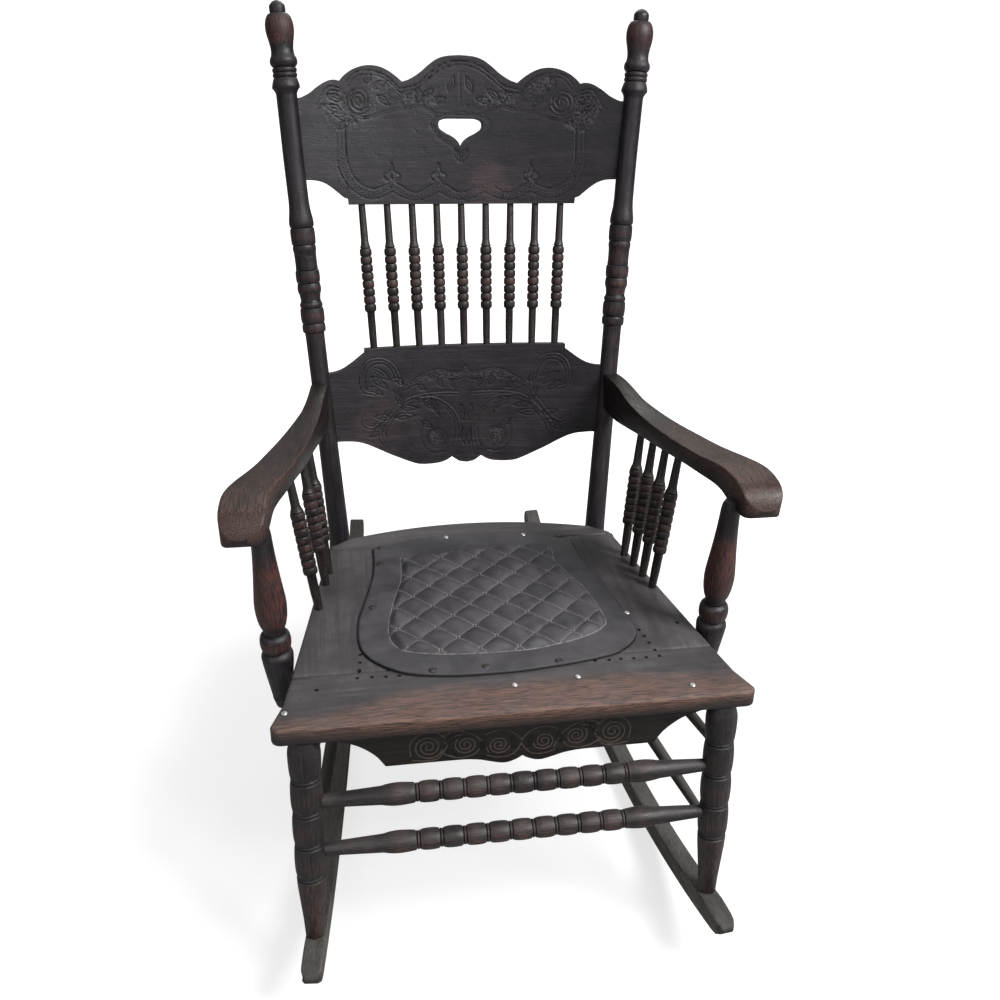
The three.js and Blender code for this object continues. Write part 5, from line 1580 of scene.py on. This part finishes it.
@dataclass
class Seat:
    """The framed seat with its cane holes and its pressed apron."""

    front_rail: float = 97.0
    side_rail: float = 92.0
    back_rail: float = 404.0
    clip_half: float = 180.0
    clip_place: float = 434.0
    rear_bow: float = 32.0
    corner: float = 11.0
    joint: float = 0.1
    hole_radius: float = 2.6
    nosing: float = 6.0
    rear_nosing: float = 5.0
    under_nosing: float = 4.0
    flare: float = 6.5
    opening_corner: float = 40.0
    strips: tuple[float, float] = (22.0, 9.0)
    apron_reach: float = 213.0
    apron_corner: float = 157.0
    apron_under: float = -83.0
    apron_thickness: float = 13.0
    apron_place: tuple[float, float] = (7.0, 41.0)
    plugs: Places = ((-222.6, 68.2), (225.6, 151.9))
    left_holes: Places = (
        (-172.1, 131.9), (-172.9, 115.8), (-174.2, 100.2), (-177.1, 85.1), (-160.4, 84.6),
        (-144.5, 83.7), (-129.2, 83.7))
    right_holes: Places = (
        (172.6, 142), (174.9, 127.5), (176.5, 112.5), (179.6, 97), (180.4, 83.6), (164, 82.4),
        (148.5, 82.6), (133, 83.2), (118.8, 83.1), (102, 84.1))
    rear_holes: Places = (
        (140.4, 341.5), (142.6, 327.2), (144, 312.4), (146.7, 297.7), (149.8, 284))

    def build(self) -> None:
        """Makes and hands over the frame's four rails and the apron."""
        wood = SEAT_WOOD.material()
        front = self.rail(
            "seat_front_board", self.front_outline(), self.worn_front, (1, 2, 0), 7.0, self.nosing)
        hand_over(front, SEAT_FRONT_WOOD.material(), "seat_front_wood", "seat_front_rail")
        back = self.rail(
            "seat_back_board", self.back_outline(), self.worn_edge, (1, 2, 0), 8.0,
            self.rear_nosing)
        hand_over(back, wood, "seat_wood", "seat_back_rail")
        for side in Side:
            outline = [(x * side.value, y) for x, y in self.side_outline()]
            name = f"seat_side_board_{side.word}"
            piece = self.rail(
                name, outline, self.worn_edge, (0, 2, 1), 9.0 + side.value, self.rear_nosing)
            hand_over(piece, wood, "seat_wood", f"seat_side_rail_{side.word}")
        hand_over(self.apron(), APRON_WOOD.material(), "back_wood", "apron")

    def front_outline(self) -> Places:
        """The front rail's outline with its rounded front corners."""
        edge = self.front_rail - self.joint
        half = CHAIR.seat_half_at(edge)
        arc = [(math.cos(a), math.sin(a)) for a in np.radians(np.linspace(0.0, 90.0, 6))]
        middle = CHAIR.seat_front_half + self.flare - self.corner
        right = [(middle + self.corner * c - 0.6 * (1 - s), self.corner * (1 - s)) for c, s in arc]
        right.insert(0, (CHAIR.seat_half_at(45.0) + 0.8, 45.0))
        left = [(-x, y) for x, y in reversed(right)]
        return [(half, edge), *right, *left, (-half, edge)]

    def side_outline(self) -> Places:
        """The right side rail's outline."""
        front, rear = self.front_rail + self.joint, self.back_rail - self.joint
        nip = self.opening_corner
        return [
            (CHAIR.seat_half_at(front) - self.side_rail - nip, front),
            (CHAIR.seat_half_at(front), front), (CHAIR.seat_half_at(rear), rear),
            (CHAIR.seat_half_at(rear) - self.side_rail, rear),
            (CHAIR.seat_half_at(front + nip) - self.side_rail, front + nip)]

    def back_outline(self) -> Places:
        """The back rail's outline: clipped corners and a bowed rear edge."""
        front = self.back_rail + self.joint
        side = CHAIR.seat_side_depth
        depth = self.clip_place + self.rear_bow
        share = np.linspace(1.0, -1.0, 33)
        bow = [(s * self.clip_half, depth - self.rear_bow * s**2) for s in share]
        return [
            (-CHAIR.seat_half_at(front), front), (CHAIR.seat_half_at(front), front),
            (CHAIR.seat_rear_half, side), *bow, (-CHAIR.seat_rear_half, side)]

    def rail(
        self, name: str, outline: Places, wear: Callable[[np.ndarray], np.ndarray],
        grain: tuple[int, int, int], seed: float, nosing: float,
    ) -> Piece:
        """A rail of the seat frame, rounded on its outer edges and drilled for cane.

        Args:
            name: The piece's name.
            outline: Its outline on the seat.
            wear: Gives the stored wear from the places of its points.
            grain: The order of its axes, across, across and along the grain.
            seed: Sets its grain apart.
            nosing: The radius of its outer edge at the top.

        Returns:
            The rail in its place.
        """
        piece = board_from(name, outline, -CHAIR.seat_thickness, 0.0)
        round_edges(piece, self.under_nosing, segments=3, keep=self.under_edge)
        round_edges(piece, nosing, segments=6, keep=self.outer_edge)
        self.drill(piece)
        self.subdivide_top(piece)
        points = points_of(piece) / MM
        store(piece, "worn", wear(points))
        # Painted shade: the rail's edge faces and underside, from 2 to 6 mm below its top downward,
        # are stored as low relief, which the finish darkens.
        store(piece, "relief", -0.58 * rise_between(2.0, 6.0, -points[:, 2]))
        store_grain(piece, grain, seed)
        smooth_shading(piece, 32.0)
        apply_place(piece, row_matrix(CHAIR.seat_matrix))
        return piece

    def outside(self, middle: Vector) -> bool:
        """Whether a place lies on the seat's outer edge."""
        near, near_rear = 6.0, 25.0
        side = abs(middle.x) > CHAIR.seat_half_at(middle.y) - near
        return middle.y < 0.5 or side or middle.y > self.clip_place - near_rear

    def outer_edge(self, middle: Vector) -> bool:
        """Whether an edge's middle lies on the seat's outer edge at its top."""
        return middle.z > -0.01 and self.outside(middle)

    def under_edge(self, middle: Vector) -> bool:
        """Whether an edge's middle lies on the seat's outer edge at its underside."""
        return middle.z < 0.01 - CHAIR.seat_thickness and self.outside(middle)

    def drill(self, piece: Piece) -> None:
        """Drills the cane holes that lie within a rail."""
        points = points_of(piece) / MM
        low, high = points.min(0), points.max(0)
        holes = [*self.left_holes, *self.right_holes, *self.rear_holes]
        holes += [(-x, y) for x, y in self.rear_holes]
        deep, shallow = 60.0, 12.0
        drills = [(x, y, deep) for x, y in holes] + [(x, y, shallow) for x, y in self.plugs]
        tools = []
        for x, y, depth in drills:
            if low[0] < x < high[0] and low[1] - 3 < y < high[1] + 3:
                clear_selection()
                bpy.ops.mesh.primitive_cylinder_add(
                    vertices=18, radius=self.hole_radius * MM, depth=depth * MM,
                    location=(x * MM, y * MM, 0.0))
                tools.append(bpy.context.active_object)
        if not tools:
            return
        clear_selection()
        for tool in tools:
            tool.select_set(True)
        bpy.context.view_layer.objects.active = tools[0]
        if len(tools) > 1:
            bpy.ops.object.join()
        tool = bpy.context.active_object
        apply_modifier(piece, "BOOLEAN", object=tool, operation="DIFFERENCE", solver="EXACT")
        bpy.data.objects.remove(tool)

    def subdivide_top(self, piece: Piece) -> None:
        """Cuts a rail into strips with the bisect operator, so that wear can vary along it."""
        make_active(piece)
        points = points_of(piece)
        low, high = points.min(0), points.max(0)
        with editing(action=None):
            for axis, step in enumerate(self.strips):
                count = int((high[axis] - low[axis]) / MM / step)
                normal = [0.0, 0.0, 0.0]
                normal[axis] = 1.0
                for i in range(1, count):
                    place = [0.0, 0.0, 0.0]
                    place[axis] = low[axis] + (high[axis] - low[axis]) * i / count
                    bpy.ops.mesh.select_all(action="SELECT")
                    bpy.ops.mesh.bisect(plane_co=place, plane_no=normal)

    def worn_front(self, points: np.ndarray) -> np.ndarray:
        """Wear on the front rail: rubbed from its front edge back, least at the left."""
        across, back, up = points.T
        reach = 38.0 + 32.0 * rise_between(-240.0, -90.0, across)
        band = np.clip(1.15 - back / reach, 0.0, 1.0)
        ends = 0.55 + 0.45 * rise_between(-235.0, -120.0, across)
        ends = ends - 0.4 * rise_between(110.0, 235.0, across)
        face = 1.0 - 0.4 * rise_between(2.0, 6.0, -up)
        return np.clip(1.3 * band * ends * face, 0.0, 1.0)

    def worn_edge(self, points: np.ndarray) -> np.ndarray:
        """Wear on the other rails: a little along the seat's outer edge."""
        half = np.array([CHAIR.seat_half_at(y) for y in points[:, 1]])
        edge = half - np.abs(points[:, 0])
        return 0.45 * (1.0 - rise_between(0.0, 9.0, edge))

    def apron(self) -> Piece:
        """The pressed apron under the front rail."""
        lobes = [
            (0, -84.5), (6, -88.5), (15.7, -92.2), (25.1, -92.4), (37.7, -89), (50.2, -85.4),
            (65.9, -83.4), (90, self.apron_under), (self.apron_corner, self.apron_under)]
        ends = [(self.apron_corner, self.apron_under), (159.5, -79), (167, -68),
                (179, -57), (193, -48.5), (self.apron_reach, -42)]
        lower = both_ways([curve_through(lobes, 8), curve_through(ends, 6)])
        top = -CHAIR.seat_thickness - 0.3
        upper = both_ways([np.array([(0.0, top), (self.apron_reach, top)])])
        breaks = [
            -self.apron_reach, -self.apron_corner, 0.0, self.apron_corner, self.apron_reach]
        board = PressedBoard(
            "apron_board", lower, upper, breaks, self.apron_thickness, spacing=1.2)
        shift, back = self.apron_place
        place = Matrix.Translation((shift, back - self.apron_thickness / 2, 0.0))
        turn = place @ Matrix.Rotation(math.pi / 2, 4, "X")
        return board.build(56, self.apron_pressing(), CHAIR.seat_matrix @ turn, seed=12.0)

    def apron_pressing(self) -> Pressing:
        """The apron's ornament: three spirals a side, tendrils and leaves."""
        pressing = Pressing(shift=-1.5)
        for centre, outer, turns, start in (
            ((26, -66), 13, 2.3, 160), ((64, -62), 13, -2.2, 40), ((107, -61), 17, 2.6, 200),
        ):
            pressing.spiral(Line.WIRE, centre, outer, 2, turns, start)
        for places in (
            [(92, -48), (80, -43), (66, -44), (52, -52), (43, -64), (38, -76)],
            [(90, -72), (82, -77), (70, -80), (56, -77), (47, -68)],
            [(42, -50), (30, -46), (16, -47), (6, -54), (0, -62)],
            [(40, -80), (26, -84), (12, -82), (4, -74), (0, -66)],
            [(127, -72), (128, -58), (123, -47), (112, -41), (98, -42), (88, -50)],
            [(126, -78), (112, -80), (98, -79), (90, -70), (84, -58)],
            [(88, -58), (80, -50), (68, -47)],
        ):
            pressing.stroke(Line.WIRE, places)
        for leaf in (
            (84, -60, 80, -46, 6), (86, -68, 76, -77, 6), (46, -72, 42, -54, 6),
            (12, -56, 8, -74, 6),
        ):
            pressing.leaf(*leaf)
        return pressing


@dataclass
class Panel:
    """The quilted leather seat panel, the tack heads that hold it and the frame's nails."""

    sheet: float = 3.5
    quilt: float = 7.0
    rim: float = 1.0
    pitch: float = 47.1
    row_pitch: float = 25.3
    row_place: float = 144.3
    row_tilt: float = 0.034
    column_place: float = -6.35
    cells: int = 176
    lift: float = 0.3
    roll_reach: float = 2.2
    front: Places = (
        (-146, 100), (-122.5, 84), (-90, 75), (-50, 71), (0, 71), (47.8, 75.5), (102.4, 84.5),
        (132, 93.5), (150, 106))
    right: Places = (
        (150, 106), (162, 121), (168.2, 141), (165.5, 185), (161, 223.5), (150, 285), (143, 345),
        (141.7, 388.8))
    rear: Places = ((-146, 392.5), (-74, 416.5), (0, 424), (70, 415), (141.7, 388.8))
    left: Places = (
        (-146, 100), (-160, 116), (-170, 137), (-173.5, 165), (-171.5, 205), (-163, 245),
        (-154.5, 285), (-148.5, 320), (-146, 355), (-146, 392.5))
    field_outline: Places = (
        (-108, 361), (-112, 299.5), (-124, 247), (-134, 195), (-135.5, 160), (-129, 138),
        (-116, 126), (-82, 116), (-38.3, 111.3), (0, 111), (30, 111.8), (70, 120), (104, 132.5),
        (126, 146), (135.5, 163.5), (134, 200), (127, 250), (117, 279), (104, 322), (86, 375))
    tacks: Places = (
        (-135, 391.5), (-137.6, 344.2), (-39, 412.7), (74.3, 407.4), (126.1, 396.8),
        (-152.7, 230.3), (166.7, 176.6), (-90.1, 83.3), (-28.7, 83.3), (58.5, 83.3))
    nails: Places = ((0.288, 0.132), (-0.003, 0.117), (-0.983, 0.072), (0.766, 0.052))
    bright: tuple[int, ...] = (3, 4, 7)
    broad: float = 1.35

    def build(self) -> None:
        """Makes and hands over the panel and its tacks."""
        panel = self.panel()
        hand_over(panel, PANEL_LEATHER.material(), "panel_leather", "seat_panel")
        self.heads()

    def panel(self) -> Piece:
        """The sheet with its quilted field as one closed mesh."""
        clear_selection()
        bpy.ops.mesh.primitive_grid_add(
            x_subdivisions=self.cells, y_subdivisions=self.cells, size=2.0)
        piece = named("quilted_panel")
        sides = [self.evenly(side) for side in (self.front, self.right, self.rear, self.left)]
        place = self.spread((points_of(piece)[:, :2] + 1.0) / 2.0, *sides)
        set_points(piece, np.column_stack([place, np.zeros(len(place))]) * MM)
        apply_modifier(piece, "SOLIDIFY", thickness=self.sheet * MM, offset=1.0)
        recalculate(piece)
        points = points_of(piece) / MM
        top = points[:, 2] > points[:, 2].min() + self.sheet / 2
        points[:, 2] -= points[:, 2].min()
        front, right, rear, left = sides
        outline = np.concatenate([front, right[1:], rear[::-1][1:], left[::-1][1:-1]])
        quilt_outline = curve_through([*self.field_outline, self.field_outline[0]], 8)
        inside = outline_distance(points[:, :2], quilt_outline[:-1])
        border = outline_distance(points[:, :2], outline)
        one, two = self.seams(points)
        points[:, 2] += np.where(top, self.relief(points, inside, border), 0.0)
        points[:, 2] += self.lift
        set_points(piece, points * MM)
        store(piece, "quilt", np.column_stack([one, two, np.zeros(len(one))]))
        store(piece, "field", inside * MM)
        store(piece, "border", border * MM)
        smooth_shading(piece, 50.0)
        apply_place(piece, row_matrix(CHAIR.seat_matrix))
        return piece

    def spread(
        self, unit: np.ndarray, front: np.ndarray, right: np.ndarray, rear: np.ndarray,
        left: np.ndarray,
    ) -> np.ndarray:
        """A unit square's points spread evenly between the four sides of the sheet."""
        u, t = unit[:, 0], unit[:, 1]
        across, along = u[:, None], t[:, None]
        return (
            self.sample(front, u) * (1 - along) + self.sample(rear, u) * along
            + self.sample(left, t) * (1 - across) + self.sample(right, t) * across
            - front[0] * (1 - across) * (1 - along) - front[-1] * across * (1 - along)
            - rear[0] * (1 - across) * along - rear[-1] * across * along)

    def seams(self, points: np.ndarray) -> tuple[np.ndarray, np.ndarray]:
        """The quilt's two coordinates at points, each a whole number on its own seams."""
        across = (points[:, 0] - self.column_place) / self.pitch
        back = points[:, 1] - self.row_place + self.row_tilt * points[:, 0]
        back = back / self.row_pitch / 2
        return across + back, across - back

    def relief(self, points: np.ndarray, inside: np.ndarray, border: np.ndarray) -> np.ndarray:
        """How far the top face rises or sinks at points.

        Args:
            points: The places in millimetres.
            inside: How far each lies within the quilted field.
            border: How far each lies within the sheet's outline.

        Returns:
            The puffed quilting less its seam, the waves of the leather and the rolled border.
        """
        one, two = self.seams(points)
        puff = np.abs(np.sin(math.pi * one) * np.sin(math.pi * two)) ** 0.62
        rise = self.rim * rise_between(0.0, 2.0, inside)
        rise = rise + (self.quilt - self.rim) * puff * rise_between(0.5, 9.0, inside)
        seam = 0.7 * np.exp(-(inside / 1.3) ** 2)
        wave = 0.35 * np.sin(points[:, 0] / 17.0) * np.sin(points[:, 1] / 23.0 + 1.0)
        rolled = 1.0 - np.clip(border, 0.0, self.roll_reach) / self.roll_reach
        roll = 1.6 * (1.0 - np.sqrt(np.clip(1.0 - rolled**2, 0.0, 1.0)))
        return rise - seam + wave * rise_between(0.0, 10.0, border) - roll

    def evenly(self, side: Places) -> np.ndarray:
        """A side's smooth curve with its points evenly spaced."""
        points = curve_through(side, 20)
        gaps = np.linalg.norm(np.diff(points, axis=0), axis=1)
        run = np.concatenate([[0.0], np.cumsum(gaps)])
        even = np.linspace(0.0, run[-1], 161)
        return np.column_stack([np.interp(even, run, points[:, axis]) for axis in (0, 1)])

    def sample(self, side: np.ndarray, shares: np.ndarray) -> np.ndarray:
        """Places at shares of a side's length."""
        places = np.linspace(0.0, 1.0, len(side))
        return np.column_stack([np.interp(shares, places, side[:, axis]) for axis in (0, 1)])

    def heads(self) -> None:
        """Tack heads on the panel and nail heads on the frame, modelled once and copied."""
        bright, dull = BRIGHT_TACK.material(), DULL_TACK.material()
        first, broad = self.head("tack_head", 1.0), self.head("broad_tack_head", self.broad)
        level = self.sheet + 0.4
        for i, (across, back) in enumerate(self.tacks, 1):
            piece = copied(first if i in self.bright else broad, f"panel_tack_head_{i}")
            foot, top = (CHAIR.on_seat(across, back, level + up) for up in (0, 9))
            stand(piece, foot, top)
            finish = bright if i in self.bright else dull
            hand_over(piece, finish, "tack_metal", f"panel_tack_{i}")
        for i, (across, back) in enumerate(self.nails, 1):
            place = back * CHAIR.seat_side_depth
            x = across * CHAIR.seat_half_at(place)
            piece = copied(first, f"seat_nail_head_{i}")
            stand(piece, CHAIR.on_seat(x, place, 0.3), CHAIR.on_seat(x, place, 9.0))
            hand_over(piece, bright, "tack_metal", f"seat_nail_{i}")
        for blank in (first, broad):
            bpy.data.objects.remove(blank)

    def head(self, name: str, breadth: float) -> Piece:
        """A domed tack head that is broader than the bright ones by a factor."""
        profile = Profile(steps=6)
        profile.to(-0.4, 6.6 * breadth).to(0, 7.2 * breadth).to(0.45, 7.3 * breadth)
        profile.to(0.95, 6.4 * breadth).to(1.45, 4.8 * breadth).to(1.75, 3).to(1.9, 1.2)
        return turned(name, profile, sides=20, seed=0.0)


@dataclass
class Undercarriage:
    """The front legs, the stretchers and the two bow runners."""

    leg_top: Vector = field(default_factory=lambda: Vector((237.8, -218.4, 341.0)))
    leg_foot: Vector = field(default_factory=lambda: Vector((240.5, -272.7, 78.4)))
    front_heights: tuple[float, float] = (265.0, 200.5)
    side_heights: tuple[tuple[float, float], ...] = ((286.0, 190.0), (172.0, 95.0))
    rear_height: float = 150.0
    side_dowel: float = 16.4
    rear_dowel: float = 16.0
    dowel_end: float = 10.0
    barrel_pitch: float = 26.9
    barrels: int = 9
    runner_thickness: float = 24.0
    runner_round: float = 2.4
    runner_points: int = 90
    runner_front: float = -335.0
    runner_rear: float = 547.0
    nose: float = 44.0
    heel: float = 14.0

    def build(self) -> None:
        """Makes and hands over the legs, stretchers and runners."""
        leg_wood = LEG_WOOD.material()
        right = turned("turned_leg_right", self.leg_profile(), sides=44, seed=13.0)
        stand(right, self.leg_foot, self.leg_top, turn=0.4)
        left = mirrored(right, "turned_leg_left")
        shift_grain(left, 0.9)
        hand_over_pair(right, left, leg_wood, "leg_wood", "front_leg")
        for word, height in zip(("upper", "lower"), self.front_heights):
            end = at_height(self.leg_foot, self.leg_top, height)
            start = on_side(end, Side.LEFT)
            shape = self.stretcher_profile((end - start).length)
            piece = turned(f"barrel_stretcher_{word}", shape, sides=32, seed=height)
            stand(piece, start, end)
            hand_over(piece, leg_wood, "leg_wood", f"front_stretcher_{word}")
        plain_wood = RUNNER_WOOD.material()
        for word, (front, rear) in zip(("upper", "lower"), self.side_heights):
            start = at_height(self.leg_foot, self.leg_top, front)
            end = at_height(CHAIR.rear_foot, CHAIR.knee, rear)
            for side in Side:
                ends = [on_side(place, side) for place in (start, end)]
                name = f"{word}_{side.word}"
                piece = self.plain(f"side_dowel_{name}", ends, self.side_dowel, front + side.value)
                hand_over(piece, plain_wood, "leg_wood", f"side_stretcher_{name}")
        end = at_height(CHAIR.rear_foot, CHAIR.knee, self.rear_height)
        ends = [on_side(end, Side.LEFT), end]
        piece = self.plain("rear_dowel", ends, self.rear_dowel, 3.0)
        hand_over(piece, plain_wood, "leg_wood", "rear_stretcher")
        self.runners(plain_wood)

    def leg_profile(self) -> Profile:
        """The front leg by distance from its foot: four double grooves between barrels."""
        shape = Profile(wear=0.45, steps=9)
        shape.to(-5, 20.6).to(30, 24.4).to(60, 29.6).to(76, 32.4).to(88.4, 33.6)
        grooves = (93, 138, 181, 224.5)
        for i, middle in enumerate(grooves):
            shape.rubbed(0.25).to(middle - 3.4, 33.6).cut(middle - 2.3, 30.6)
            shape.to(middle - 1.3, 32.6).to(middle, 33).to(middle + 1.3, 32.6)
            shape.cut(middle + 2.3, 30.6).to(middle + 3.4, 33.6).rubbed(0.4)
            if i + 1 < len(grooves):
                shape.bead(grooves[i + 1] - 4.6, 35.9, 33.6, 0.6)
        shape.rubbed(0.25).to(232, 34.8).to(240, 35.9).to(249, 36.5).to(257, 36.5).to(262, 35.4)
        shape.to(266, 33.2).to(270, 30.8).to(275, 29.6)
        return shape

    def stretcher_profile(self, length: float) -> Profile:
        """A front stretcher between two leg axes: nine barrels and two tapered ends."""
        middle = length / 2 + 4.5
        first = middle - self.barrels * self.barrel_pitch / 2
        last = middle + self.barrels * self.barrel_pitch / 2
        shape = Profile(wear=0.3, steps=7)
        shape.to(10, 14.6).to(22, 15.4).to(first - 40, 21).rubbed(0.45)
        shape.bead(first - 3.4, 25.6, 22.8, 0.9)
        for i in range(self.barrels + 1):
            groove = first + i * self.barrel_pitch
            shape.to(groove - 2.6, 21.8).cut(groove - 1.8, 19.4).to(groove - 0.8, 21.2)
            shape.to(groove + 0.8, 21.2).cut(groove + 1.8, 19.4).to(groove + 2.6, 21.8)
            if i < self.barrels:
                shape.bead(groove + self.barrel_pitch - 2.6, 24.7, 22.4, 0.5)
        shape.bead(last + 40, 25.6, 21, 0.9).rubbed(0.1).to(length - 22, 15.4)
        shape.to(length - 10, 14.6)
        return shape

    def plain(self, name: str, ends: list[Vector], diameter: float, seed: float) -> Piece:
        """A plain dowel that swells in its middle, between two leg axes."""
        length = (ends[1] - ends[0]).length
        shape = Profile(wear=0.15, steps=24)
        shape.to(9, self.dowel_end).bead(length - 9, diameter, self.dowel_end, 1)
        piece = turned(name, shape, sides=24, seed=seed)
        stand(piece, ends[0], ends[1])
        return piece

    def runners(self, wood: bpy.types.Material) -> None:
        """The two runners, each a board sawn to an arc with rounded edges."""
        outline = self.runner_outline()
        half = self.runner_thickness / 2
        piece = board_from("bow_runner_right", outline, -half, half)
        round_edges(piece, self.runner_round, segments=3)
        points = points_of(piece) / MM
        tip = points[:, 0].min()
        points[:, 2] *= 1.0 - 0.45 * (1.0 - rise_between(tip - 4.0, tip + 14.0, points[:, 0]))
        set_points(piece, points * MM)
        edge = half - np.abs(points[:, 2])
        worn = 0.7 * (1.0 - rise_between(0.0, 5.0, edge)) + 0.1
        store(piece, "worn", worn)
        store_grain(piece, (1, 2, 0), 14.0)
        smooth_shading(piece, 32.0)
        lean = math.pi / 2 + math.atan(CHAIR.runner_converge)
        turn = Matrix.Rotation(lean, 4, "Z") @ Matrix.Rotation(math.pi / 2, 4, "X")
        place = Vector((CHAIR.runner_x_at(CHAIR.runner_low_y), CHAIR.runner_low_y, 0.0))
        apply_place(piece, Matrix.Translation(row(place)) @ turn)
        top_dust_and_light = points_of(piece)
        top_dust_and_light[:, 2] = np.maximum(top_dust_and_light[:, 2], 0.0)
        set_points(piece, top_dust_and_light)
        left = mirrored(piece, "bow_runner_left")
        shift_grain(left, 1.9)
        hand_over_pair(piece, left, wood, "runner_wood", "runner")

    def runner_outline(self) -> Places:
        """A runner seen from the side, along it and up, with a round nose and heel."""
        stretch = math.hypot(1.0, CHAIR.runner_converge)
        front = (self.runner_front - CHAIR.runner_low_y) * stretch
        rear = (self.runner_rear - CHAIR.runner_low_y) * stretch
        outer = CHAIR.runner_radius
        inner = outer - CHAIR.runner_depth
        low = [(x, outer - math.sqrt(outer**2 - x**2))
               for x in np.linspace(front + 9.0, rear - self.heel, self.runner_points)]
        high = [(x, outer - math.sqrt(inner**2 - x**2))
                for x in np.linspace(rear - self.heel, front + self.nose, self.runner_points)]
        heel = self.bulge(low[-1], (rear, (low[-1][1] + high[0][1]) / 2 + 3.0), high[0])
        corner = (front - 20.0, outer - math.sqrt(inner**2 - (front + 4.0) ** 2) - 2.0)
        nose = self.bulge(high[-1], corner, low[0])
        return [*low, *heel, *high, *nose]

    def bulge(self, start: Place, control: Place, end: Place) -> Places:
        """The points between two places on a curve drawn towards a third."""
        t = np.linspace(0.0, 1.0, 10)[1:-1, None]
        first, middle, last = (np.array(place) for place in (start, control, end))
        curve = (1 - t) ** 2 * first + 2 * t * (1 - t) * middle + t**2 * last
        return [tuple(place) for place in curve]


@dataclass
class Studio:
    """A white floor, soft lamps and a camera at the photograph's angle."""

    eye: Vector = field(default_factory=lambda: Vector((-175.8, -1003.2, 1142.8)))
    yaw: float = -10.17
    pitch: float = 32.19
    roll: float = -2.53
    focal_pixels: float = 990.2
    frame_pixels: float = 1000.0
    sensor: float = 36.0
    middle: tuple[float, float] = (498.7, 499.2)
    glow: float = 0.22

    def build(self) -> None:
        """Makes the camera, the floor, the lamps and the world."""
        self.camera()
        self.floor()
        self.lamp("key_lamp", (1.9, -1.5, 2.9), (0.0, 0.0, 0.45), size=1.2, power=125.0)
        self.lamp("fill_lamp", (-1.6, -2.2, 2.2), (0.0, 0.0, 0.5), size=1.8, power=12.0)
        self.lamp("rim_lamp", (0.5, 2.4, 2.6), (0.0, 0.1, 0.6), size=1.8, power=30.0)
        self.world()
        bpy.context.scene.view_settings.view_transform = "Standard"

    def camera(self) -> None:
        """The camera from its place, its three angles and its focal length."""
        yaw, pitch, roll = (math.radians(a) for a in (self.yaw, self.pitch, self.roll))
        ahead = Vector((
            -math.sin(yaw) * math.cos(pitch), math.cos(yaw) * math.cos(pitch), -math.sin(pitch)))
        level = Vector((math.cos(yaw), math.sin(yaw), 0.0))
        down = ahead.cross(level)
        right = math.cos(roll) * level + math.sin(roll) * down
        lower = -math.sin(roll) * level + math.cos(roll) * down
        turn = Matrix((right, -lower, -ahead)).transposed().to_4x4()
        data = bpy.data.cameras.new("camera")
        camera = bpy.data.objects.new("camera", data)
        bpy.context.scene.collection.objects.link(camera)
        camera.matrix_world = Matrix.Translation(row(self.eye)) @ turn
        data.sensor_width = self.sensor
        data.lens = self.sensor * self.focal_pixels / self.frame_pixels
        data.shift_x = (self.frame_pixels / 2 - self.middle[0]) / self.frame_pixels
        data.shift_y = -(self.frame_pixels / 2 - self.middle[1]) / self.frame_pixels
        data.clip_end = 50.0
        bpy.context.scene.camera = camera

    def floor(self) -> None:
        """A wide white floor that keeps the chair's shadow."""
        clear_selection()
        bpy.ops.mesh.primitive_plane_add(size=30.0)
        floor = bpy.context.active_object
        floor.name = "floor"
        shader = Shader("floor_finish")
        seen = shader.node("LightPath", {}).outputs["Is Camera Ray"]
        place = shader.node("TexCoord", {}).outputs["Object"]
        away = shader.node("VectorMath", {0: place}, operation="LENGTH").outputs["Value"]
        glow = shader.times(seen, shader.ranged(away, 0.35, 0.95, 0.7, 1.1))
        matt = shader.node("BsdfDiffuse", {"Color": (0.42, 0.42, 0.42)})
        glow = shader.node("Emission", {"Strength": glow})
        both = shader.node("AddShader", {0: matt.outputs[0], 1: glow.outputs[0]})
        shader.end(both.outputs[0])
        floor.data.materials.append(shader.owner)

    def lamp(
        self, name: str, place: tuple[float, float, float], aim: tuple[float, float, float],
        size: float, power: float,
    ) -> None:
        """A soft square lamp that points at a place."""
        data = bpy.data.lights.new(name, "AREA")
        data.size = size
        data.energy = power
        lamp = bpy.data.objects.new(name, data)
        bpy.context.scene.collection.objects.link(lamp)
        direction = Vector(aim) - Vector(place)
        lamp.location = place
        lamp.rotation_euler = direction.to_track_quat("-Z", "Y").to_euler()

    def world(self) -> None:
        """An even white surround, seen as pure white."""
        shader = Shader("studio", world=True)
        bpy.context.scene.world = shader.owner
        path = shader.node("LightPath", {}).outputs
        seen = shader.maths("MAXIMUM", path["Is Camera Ray"], path["Is Transmission Ray"])
        lit = shader.node("MapRange", {"Value": seen, "To Min": self.glow, "To Max": 1.0})
        white = {"Color": (1.0, 1.0, 1.0), "Strength": lit.outputs["Result"]}
        shader.end(shader.node("Background", white).outputs["Background"])


def main() -> None:
    """Builds the studio and the chair, piece by piece."""
    logging.basicConfig(level=logging.INFO, format="%(name)s %(message)s")
    Studio().build()
    Backrest().build()
    Posts().build()
    Arms().build()
    Seat().build()
    Panel().build()
    Undercarriage().build()


if __name__ == "__main__":
    main()
